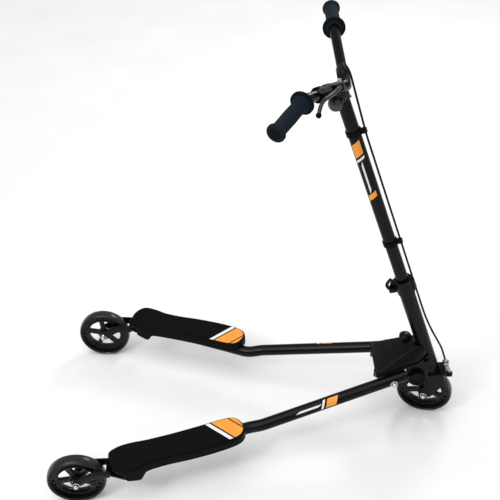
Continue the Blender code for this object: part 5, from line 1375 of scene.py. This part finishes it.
def collar_mesh():
    """A split collar with two ears behind it."""
    bore = STEERER_RADIUS + CLEAR
    outer = bore + COLLAR_WALL
    low, high = COLLAR_LOW - MM, COLLAR_HIGH + MM
    body = ring(outer, bore, COLLAR_LOW, COLLAR_HIGH, TUBE_SEGMENTS)
    ear_low, ear_high = SKEWER_S - 12 * MM, SKEWER_S + 12 * MM
    rear, front = SKEWER_Q - 6 * MM, -bore - MM
    corners = [(rear, ear_low), (front, ear_low), (front, ear_high), (rear, ear_high)]
    ear_outline = rounded(corners, [5 * MM, 0, 0, 5 * MM])
    ears = bevelled(side_slab(ear_outline, -COLLAR_EAR_HALF, COLLAR_EAR_HALF), MM)
    rib = box((7 * MM, 12 * MM, 30 * MM), at=(outer + MM, 0, (COLLAR_LOW + COLLAR_HIGH) / 2))
    groove = moved(drill(CABLE_RADIUS + CLEAR, low, high, 10), at=(CABLE_Q, 0, 0))
    slot = box((40 * MM, 2.4 * MM, 60 * MM), at=(-bore - 15 * MM, 0, SKEWER_S))
    hole = cross_hole(SKEWER_RADIUS + CLEAR, (SKEWER_Q, 0, SKEWER_S))
    return cut(joined(body, ears, rib), slot, hole, groove, drill(bore, low, high, TUBE_SEGMENTS))


def skewer_mesh():
    """The clamp's skewer, with its round nut on the left."""
    end = 10.5 * MM
    nut_seat = -COLLAR_EAR_HALF - CLEAR
    nut_radius = 6.5 * MM
    nut_end = -19 * MM
    return turned(
        [
            (0, end),
            (SKEWER_RADIUS, end),
            (SKEWER_RADIUS, nut_seat),
            (nut_radius, nut_seat),
            (nut_radius, nut_end + 2 * MM),
            (nut_radius - 1.5 * MM, nut_end),
            (0, nut_end),
        ],
        12,
    )


LEVER_PIVOT_Y = -17.5 * MM


def qr_lever_mesh():
    """The quick-release lever: a cam head on the skewer's end and a curved handle."""
    cam = moved(rod(6 * MM, -6 * MM, 6 * MM, 16), turn=ON_X)
    route = smooth_path(in_mm([(0, 0, 2), (-6, -2, 12), (-7, -3, 22), (0, -3, 32), (7, -2, 38)]), 8)
    scales = [1.15 - 0.35 * k / (len(route) - 1) for k in range(len(route))]
    return joined(cam, tube(route, 4.2 * MM, scales, 2))


def stem_mesh():
    body = rod(STEM_RADIUS, STEM_BOTTOM, LUG_LOW + 5 * MM, TUBE_SEGMENTS)
    lug = turned(
        [
            (0, LUG_HIGH),
            (LUG_RADIUS - 3 * MM, LUG_HIGH),
            (LUG_RADIUS, LUG_HIGH - 3 * MM),
            (LUG_RADIUS, LUG_LOW + 2 * MM),
            (LUG_RADIUS - 2 * MM, LUG_LOW),
            (0, LUG_LOW),
        ],
        TUBE_SEGMENTS,
    )
    hollow = rod(STEM_RADIUS - TUBE_WALL, STEM_BOTTOM - 5 * MM, LUG_LOW - 10 * MM, 14)
    seat = tube(core_route(30 * MM), CORE_RADIUS + 2 * CLEAR)
    neck = tube(core_route(SLEEVE_START - 0.5 * MM), CORE_RADIUS + 4 * MM)
    return cut(joined(body, lug, neck), hollow, seat)


def bar_corner():
    """Where the left bar's straight part and its grip's line meet."""
    return GRIP_START - (GRIP_END - GRIP_START).normalized() * (BAR_BEND_REACH + 3 * MM)


def bar_direction(sign):
    along = (bar_corner() - BAR_VERTEX).normalized()
    return along * Vector((1, sign, 1))


def core_route(reach):
    """Both ways from the vertex of the bar, for this length."""
    return [BAR_VERTEX + bar_direction(1) * reach, BAR_VERTEX, BAR_VERTEX + bar_direction(-1) * reach]


def bar_mesh(sign):
    """One bar half: a flared sleeve over the core, and the tube out to the grip's end."""
    side = Vector((1, sign, 1))
    along = bar_direction(sign)
    start, end = GRIP_START * side, GRIP_END * side
    out = (end - start).normalized()
    reach = BAR_BEND_REACH
    middle = bar_corner() * side
    before = [middle - along * 2 * reach, middle - along * 0.5 * reach]
    corner = [*before, middle + out * 0.3 * reach, middle + out * reach]
    bend = [bezier(corner, k / 14) for k in range(15)]
    sleeve_end = BAR_VERTEX + along * SLEEVE_END
    route = [BAR_VERTEX + along * (SLEEVE_START + 10 * MM), sleeve_end, *bend, end - out * 2 * MM]
    bar = tube(route, BAR_RADIUS)
    stations = (SLEEVE_START, SLEEVE_START + 3 * MM, SLEEVE_END - 3 * MM, SLEEVE_END, SLEEVE_END + MM)
    points = [BAR_VERTEX + along * t for t in stations]
    flare = tube(points, SLEEVE_RADIUS, [0.93, 1, 1, 0.88, 0.78], 3)
    bore = tube([BAR_VERTEX, sleeve_end], CORE_RADIUS + 2 * CLEAR)
    return cut(joined(flare, bar), bore)


def grip_mesh():
    """A foam grip along Z, with a flange at its inner end and a knob over the bar's end."""
    length = GRIP_LENGTH
    bore = (BAR_RADIUS + CLEAR) / math.cos(math.pi / GRIP_SEGMENTS)
    deep = length - 4 * MM
    knob = GRIP_KNOB_RADIUS
    return turned(
        [
            (0, length - 1.6 * MM),
            (knob - 9 * MM, length - 1.6 * MM),
            (knob - 7 * MM, length - 0.3 * MM),
            (knob - 5 * MM, length),
            (knob - 2 * MM, length - 0.8 * MM),
            (knob - 0.4 * MM, length - 2.6 * MM),
            (knob, length - 4.6 * MM),
            (knob - 0.3 * MM, length - 8 * MM),
            (knob - 2 * MM, length - 11 * MM),
            (GRIP_RADIUS + 0.6 * MM, length - 14 * MM),
            (GRIP_RADIUS, length - 17 * MM),
            (GRIP_RADIUS + 0.8 * MM, length / 2),
            (GRIP_RADIUS, 17 * MM),
            (GRIP_RADIUS + MM, 11 * MM),
            (GRIP_RADIUS + 4 * MM, 7.5 * MM),
            (GRIP_FLANGE_RADIUS - MM, 6 * MM),
            (GRIP_FLANGE_RADIUS, 4.6 * MM),
            (GRIP_FLANGE_RADIUS, 0.4 * MM),
            (GRIP_FLANGE_RADIUS - MM, -MM),
            (GRIP_RADIUS + 3 * MM, -1.4 * MM),
            (GRIP_RADIUS + MM, -3 * MM),
            (bore, -3 * MM),
            (bore, deep),
            (0, deep),
        ],
        GRIP_SEGMENTS,
    )


def grip_trim(side, place):
    """The dark rubber on a grip: a cover over its flange, and the disc in its end."""
    flange = turned(
        [
            (GRIP_RADIUS + 5 * MM, 7.4 * MM),
            (GRIP_FLANGE_RADIUS - 0.8 * MM, 6.3 * MM),
            (GRIP_FLANGE_RADIUS + 0.3 * MM, 4.8 * MM),
            (GRIP_FLANGE_RADIUS + 0.3 * MM, 0.2 * MM),
            (GRIP_FLANGE_RADIUS - 0.8 * MM, -1.3 * MM),
            (GRIP_RADIUS + 3 * MM, -1.8 * MM),
            (GRIP_RADIUS + 3 * MM, 2 * MM),
        ],
        20,
        ring=True,
    )
    cap = GRIP_KNOB_RADIUS - 8.4 * MM
    low = GRIP_LENGTH - 3 * MM
    end = turned([(0, GRIP_LENGTH - 1.1 * MM), (cap, GRIP_LENGTH - 0.7 * MM), (cap, low), (0, low)])
    added(f"grip_flange_{side}", flange, FINISH[RUBBER], "stem", place)
    added(f"grip_end_{side}", end, FINISH[RUBBER], "stem", place)


def clip_mesh(s, cable_room):
    """A cable clip at this height: a band round the stem with an ear that holds the cable."""
    bore = STEM_RADIUS + CLEAR
    reach = CABLE_Q + CABLE_RADIUS + CLIP_LIP
    band = ring(bore + CLIP_WALL, bore, -CLIP_HEIGHT / 2, CLIP_HEIGHT / 2, 16)
    ear = box((reach - bore, 8.5 * MM, CLIP_HEIGHT), at=((reach + bore) / 2, 0, 0))
    body = moved(joined(band, ear), at=(0, 0, s))
    return cut(body, drill(bore, s - CLIP_HEIGHT, s + CLIP_HEIGHT, 16), cable_room)


def cable_points():
    """The cable's own route in the steering frame, from the brake stop up to the lever's barrel."""
    rising = [(41, 0, 186.4), (41, 0, 205), (41, 0, 234), (37, 0, 263), (32, 0, 292)]
    rising += [(28.5, 0, 320), (26.2, 0, 350)]
    straight = [(CABLE_Q / MM, 0, 385), (CABLE_Q / MM, 0, 860)]
    top = [(26, 0, 893), (28, 0, 934), (30, 0, 973), (32, 0, 1011)]
    top += [(33, -1, 1038), (32, -7, 1058), (29, -19, 1069)]
    up = (BARREL_TOP - BARREL_FOOT).normalized()
    end = [BAR_FRAME @ (BARREL_TOP + up * reach * MM) for reach in (11, 5, 0.4)]
    return smooth_path(in_mm(rising + straight[:1]), 4) + smooth_path(in_mm(straight[1:] + top) + end, 8)


def cable_set():
    """The cable's jacket and ferrule, its inner wire down to the nipple, and the stop's bright parts."""
    points = cable_points()
    made = piece("brake_cable", tube(points, CABLE_RADIUS, resolution=2), CABLE, steered)
    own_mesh(made)
    wire = tube([WIRE_FOOT, points[0] + Vector((0, 0, MM))], WIRE_RADIUS, resolution=1)
    nipple = moved(rod(2.6 * MM, -4 * MM, 0, 10), at=WIRE_FOOT + Vector((0, 0, MM)))
    ferrule = turned(
        [
            (0, 9 * MM),
            (CABLE_RADIUS + 0.2 * MM, 9 * MM),
            (CABLE_RADIUS + 0.6 * MM, 8 * MM),
            (CABLE_RADIUS + 0.6 * MM, 0.6 * MM),
            (CABLE_RADIUS, 0),
            (0, 0),
        ]
    )
    saddle = box((15 * MM, 13 * MM, STOP_HEIGHT - 3 * MM), (CABLE_STOP_Q - MM, 0, STOP_MIDDLE), MM)
    lock = moved(rod(5.6 * MM, 0.1 * MM, 3.4 * MM, 6), at=(CABLE_STOP_Q, 0, CABLE_STOP_HIGH))
    for name, mesh in (
        ("brake_wire", joined(wire, nipple)),
        ("cable_ferrule", moved(ferrule, at=points[0])),
        ("stop_saddle", cut(saddle, stop_bore(STOP_BORE))),
        ("stop_lock_nut", cut(bevelled(lock, 0.5 * MM), stop_bore(3.4 * MM))),
    ):
        added(name, mesh, FINISH[STEEL], "steering", steered)


def stem_and_bars():
    piece("clamp_collar", collar_mesh(), PAINT, steered)
    piece("qr_skewer", skewer_mesh(), STEEL, steered, (SKEWER_Q, 0, SKEWER_S), ON_Y)
    piece("qr_lever", qr_lever_mesh(), PAINT, steered, (SKEWER_Q, LEVER_PIVOT_Y, SKEWER_S))
    piece("stem_tube", stem_mesh(), PAINT, steered)
    bottom, top = Vector((0, 0, 0)), Vector((0, 0, LUG_LOW))
    for side, sign in SIDES:
        for name, look, low, high, half_angle in (
            ("orange", ORANGE, 838 * MM, 872 * MM, 0.7),
            ("white", WHITE, 826 * MM, 832 * MM, 0.7),
            ("line", WHITE, 742 * MM, 818 * MM, 0.14),
            ("end", ORANGE, 722 * MM, 736 * MM, 0.7),
        ):
            outward, slant = Vector((0, sign, 0)), -FILM_SLANT * sign
            mesh = film(bottom, top, STEM_RADIUS, low, high, outward, half_angle, slant)
            added(f"stem_film_{name}_{side}", mesh, look, "stem", steered)
    core = tube(core_route(SLEEVE_END - 2 * MM), CORE_RADIUS)
    piece("handlebar_core", core, CHROME, steered)
    cable_room = tube(cable_points(), CABLE_RADIUS + CLEAR, resolution=2)
    for name, s in (("cable_clip_upper", CLIP_UPPER), ("cable_clip_lower", CLIP_LOWER)):
        piece(name, clip_mesh(s, cable_room.copy()), PLASTIC, steered)
    cable_set()
    for side, sign in SIDES:
        piece(f"bar_{side}", bar_mesh(sign), PAINT, steered)
        out = (GRIP_END - GRIP_START) * Vector((1, sign, 1))
        at_grip = steered @ Matrix.Translation(GRIP_START * Vector((1, sign, 1)))
        grip_frame = at_grip @ out.to_track_quat("Z", "Y").to_matrix().to_4x4()
        made = piece(f"grip_{side}", grip_mesh(), GRIP, grip_frame)
        grip_trim(side, grip_frame)


# Lever set on the right bar. Its frame: X out along the bar, Y forward, Z up

BAR_ALONG = bar_direction(-1)
BAR_FORWARD = (Vector((1, 0, 0)) - BAR_ALONG * BAR_ALONG.x).normalized()
BAR_UP = BAR_ALONG.cross(BAR_FORWARD)
BAR_FRAME = Matrix.Translation(BAR_VERTEX) @ Matrix((BAR_ALONG, BAR_FORWARD, BAR_UP)).transposed().to_4x4()
TAIL_ANGLE = math.radians(-63)  # from straight up towards the front
TAIL_HOLES = ((124 * MM, 2.6 * MM), (98 * MM, 1.6 * MM))
PIVOT_T = 69 * MM
PIVOT_Y = 24 * MM
PIVOT_Z = 4 * MM
NOSE_START = 52 * MM
NOSE_HALF = 9.5 * MM
BELL_Y = 1 * MM
BELL_Z = -28.6 * MM
BELL_RADIUS = 16.5 * MM
BELL_T = 56.8 * MM
TAB_LOW = 51.5 * MM
TAB_HIGH = 54.5 * MM
STRIKER_Y = 23.4 * MM
STRIKER_Z = -17.4 * MM
BARREL_FOOT = Vector((57.5, 21, 6.3)) * MM
BARREL_LENGTH = 14.5 * MM
BARREL_HEAD = 7 * MM
BARREL_TOP = BARREL_FOOT + Vector((0, 0, BARREL_LENGTH))
LEVER_TIP = Vector((93, -3, -39)) * MM


def lever_bracket_mesh():
    """A clamp round the bar, with a tail, a nose for the lever's pin and the barrel, and the bell's tab."""
    clamp_high = BRACKET_CLAMP_LOW + BRACKET_CLAMP_WIDTH
    bore = BAR_RADIUS + CLEAR
    clamp = moved(rod(bore + BRACKET_WALL, BRACKET_CLAMP_LOW, clamp_high, 14), turn=ON_X)
    hole = moved(drill(bore, 0, 2 * BRACKET_CLAMP_LOW, 14), turn=ON_X)
    nose_outline = rounded(
        [
            (NOSE_START, 15 * MM),
            (clamp_high - 2 * MM, 12 * MM),
            (clamp_high - 2 * MM, 17 * MM),
            (PIVOT_T + 9 * MM, PIVOT_Y + 7 * MM),
            (NOSE_START + 4 * MM, PIVOT_Y + 7 * MM),
            (NOSE_START, PIVOT_Y + 3 * MM),
        ],
        [0, 0, 0, 6 * MM, 4 * MM, 0],
        2,
    )
    nose = bevelled(slab(nose_outline, PIVOT_Z - NOSE_HALF, PIVOT_Z + NOSE_HALF), MM)
    slot_rear, slot_front = 15.2 * MM, 40 * MM
    slot_in, slot_out = PIVOT_T - 7 * MM, clamp_high + 6 * MM
    slot = [(slot_in, slot_rear), (slot_out, slot_rear), (slot_out, slot_front), (slot_in, slot_front)]
    slot = slab(slot, PIVOT_Z - 7 * MM, PIVOT_Z + 6.2 * MM)
    tab = [(16, -4), (28, -4), (29, -18), (22, -26), (8, -36), (-4, -36)]
    tab += [(-7, -28), (-3, -22), (8, -20), (15, -14)]
    bell_tab = set_in(slab(rounded(in_mm(tab), 2.5 * MM, 1), TAB_LOW, TAB_HIGH), STAND_UP)
    pin_hole = moved(drill(2.3 * MM, -THROUGH, THROUGH, 8), at=(PIVOT_T, PIVOT_Y, 0))
    post = moved(rod(2.2 * MM, TAB_LOW + MM, BELL_T + 10.4 * MM, 10), (0, BELL_Y, BELL_Z), ON_X)
    peg = moved(rod(1.6 * MM, TAB_LOW + MM, TAB_HIGH + 2.6 * MM, 8), (0, STRIKER_Y, STRIKER_Z), ON_X)
    body = joined(clamp, bracket_tail(clamp_high), nose, bell_tab, post, peg)
    return cut(body, hole, slot, pin_hole, barrel_seat(3.4 * MM))


def bracket_tail(start):
    """The bracket's tail: a tapering bar along the handlebar, over the clamp band, with two holes."""
    rear = start - 4 * MM
    low = BAND_RADIUS + CLEAR
    high = low + TAIL_THICKNESS
    outline = [(rear, -8 * MM), (rear, 8 * MM), (TAIL_END - 4 * MM, 6 * MM)]
    outline += [(TAIL_END, 2 * MM), (TAIL_END, -4 * MM)]
    bridge = bevelled(slab(outline, low, high), 0.8 * MM)
    holes = [moved(drill(radius, low - MM, high + MM, 6), at=(x, 0, 0)) for x, radius in TAIL_HOLES]
    return moved(cut(bridge, *holes), turn=(TAIL_ANGLE, 0, 0))


def clamp_band_mesh():
    """The black band under the bracket's tail that holds it on the bar."""
    return moved(ring(BAND_RADIUS, BAR_RADIUS + CLEAR, BAND_LOW, BAND_LOW + BAND_WIDTH, 16), turn=ON_X)


def barrel_seat(radius):
    """The threaded hole that the barrel adjuster sits in."""
    return tube([BARREL_FOOT - (BARREL_TOP - BARREL_FOOT) * 0.05, BARREL_TOP], radius)


def barrel_mesh():
    """The cable's barrel adjuster: a knurled head on a threaded neck."""
    length = BARREL_LENGTH
    return turned(
        [
            (0, length),
            (3.4 * MM, length),
            (4.2 * MM, length - MM),
            (4.2 * MM, length - BARREL_HEAD),
            (2.8 * MM, length - BARREL_HEAD),
            (2.8 * MM, 0),
            (0, 0),
        ],
        12,
    )


def brake_lever_mesh():
    """The brake lever, from its eye on the pin to the ball at its tip, in a frame at the pin."""
    shape = [(0, 0, 0), (7, 3, 0), (16, 4.5, -2.5), (32, 4.5, -7), (56, 4, -11), (74, 2.5, -15), (86, 0, -25)]
    route = smooth_path(in_mm([*shape, LEVER_TIP / MM]), 8)
    scales = [1.1 - 0.3 * min(1, 1.4 * k / (len(route) - 1)) for k in range(len(route))]
    handle = tube(route, 5.2 * MM, scales, 2)
    eye = rod(6.5 * MM, -4 * MM, 4.4 * MM, 12)
    ball_radius = 5.6 * MM
    angles = [math.pi * k / 5 for k in range(6)]
    ball = turned([(ball_radius * math.sin(a), ball_radius * math.cos(a)) for a in angles], 8)
    ball = moved(ball, at=route[-1])
    return cut(joined(handle, eye, ball), drill(2 * MM + CLEAR, -THROUGH, THROUGH))


def bell_mesh():
    """The bell's dome, open towards the stem."""
    wall = 1.4 * MM
    height = 12.5 * MM
    inner = dome_arc(BELL_RADIUS - wall, 0, height - wall, 4)
    return turned([*dome_arc(BELL_RADIUS, 0, height, 4), *reversed(inner)], 16)


def striker_mesh():
    """The bell's thumb striker, in a frame with its peg at the origin and X along the bar."""
    arm = [(-3.4, -2), (-4.6, -8.4), (-2, -10.4), (1.6, -9.6), (3.4, -3)]
    arm += [(15, -3.6), (16, 1.6), (3, 3.6), (-2, 3.4)]
    plate = slab(rounded(in_mm(arm), 1.2 * MM, 1), 0, 1.8 * MM)
    hammer = moved(rod(2.2 * MM, MM, 6.5 * MM, 10), at=(-1.8 * MM, -7.7 * MM, 0))
    thumb = box((4 * MM, 5 * MM, 7 * MM), at=(14.5 * MM, -MM, 1.5 * MM), bevel=MM)
    hole = drill(1.6 * MM + CLEAR, -5 * MM, 12 * MM, 10)
    return set_in(cut(joined(plate, hammer, thumb), hole), STAND_UP)


def lever_tip_mesh():
    """The dark ball over the lever's tip."""
    radius = 6 * MM
    upper = dome_arc(radius, 0, radius)
    return turned([*upper, *((r, -z) for r, z in reversed(upper[:-1]))], 10)


def lever_set():
    bar = steered @ BAR_FRAME
    piece("lever_bracket", lever_bracket_mesh(), LEVER, bar)
    piece("lever_clamp_band", clamp_band_mesh(), PLASTIC, bar)
    pivot_at = (PIVOT_T, PIVOT_Y, PIVOT_Z)
    piece("brake_lever", brake_lever_mesh(), LEVER, bar, pivot_at)
    at_tip = bar @ Matrix.Translation(Vector(pivot_at) + LEVER_TIP)
    added("lever_tip", lever_tip_mesh(), FINISH[PLASTIC], "hand_lever", at_tip)
    pin = rod(2 * MM, -NOSE_HALF, NOSE_HALF + 0.5 * MM, 12)
    piece("lever_pin", pin, STEEL, bar, pivot_at)
    bell = piece("bell_dome", bell_mesh(), CHROME, bar, (BELL_T, BELL_Y, BELL_Z), ON_X)
    bell.data.materials[0] = SMOKED
    piece("bell_striker", striker_mesh(), LEVER, bar, (TAB_HIGH + CLEAR, STRIKER_Y, STRIKER_Z))
    piece("barrel_adjuster", barrel_mesh(), CHROME, bar, BARREL_FOOT)


front_frame()
for flank_side, flank_sign in SIDES:
    flank(flank_side, flank_sign)
front_end()
stem_and_bars()
lever_set()


# What is left of the model's own nodes gets its finish too

for part in frame["record"]["subparts"]:
    materials = frame["nodes"][part["node"]].data.materials
    materials.clear()
    materials.append(FINISH[part["material_slot"]])


# Camera at the photograph's angle, floor and soft light


def camera():
    made = linked("camera", bpy.data.cameras.new("camera"))
    right = Vector((0.999538, 0.000645, -0.030395))
    up = Vector((0.024401, 0.579321, 0.814735))
    forward = Vector((-0.018134, 0.815100, -0.579037))
    at = Matrix.Translation((0.45962 - ORIGIN_X, -1.75005, 1.77967))
    made.matrix_world = at @ Matrix((right, up, -forward)).transposed().to_4x4()
    made.data.sensor_width = 36
    made.data.lens = 65.15
    made.data.shift_x = 0.01214
    made.data.shift_y = 0.00716
    made.data.clip_end = 50
    bpy.context.scene.camera = made


def light(kind, name, at, target, power, **settings):
    made = linked(name, bpy.data.lights.new(name, kind))
    made.data.energy = power
    for setting, value in settings.items():
        setattr(made.data, setting, value)
    made.location = at
    made.rotation_euler = (Vector(target) - Vector(at)).to_track_quat("-Z", "Y").to_euler()


def floor():
    bm = bmesh.new()
    bmesh.ops.create_circle(bm, cap_ends=True, segments=96, radius=9)
    made = linked("floor", finished(bm))
    pale = shade("pale_floor", (0.86, 0.86, 0.86), 0.7, vary=0.01, scale=3, grain=60, depth=0.0001)
    made.data.materials.append(pale)


def studio():
    world = bpy.data.worlds.new("studio")
    world.use_nodes = True
    background = world.node_tree.nodes["Background"]
    feed(world.node_tree, background, Color=(1, 1, 1, 1), Strength=0.5)
    bpy.context.scene.world = world
    light("SUN", "daylight", (-0.5, -0.6, 2.0), (0, 0, 0), 1.6, angle=math.radians(60))
    light("AREA", "key", (-1.6, -1.8, 2.6), (0, 0, 0.3), 22, shape="DISK", size=0.7)
    light("AREA", "rim", (1.2, 2.4, 2.2), (0, 0, 0.4), 22, shape="DISK", size=0.9)
    bpy.context.scene.view_settings.view_transform = "Standard"


camera()
floor()
studio()
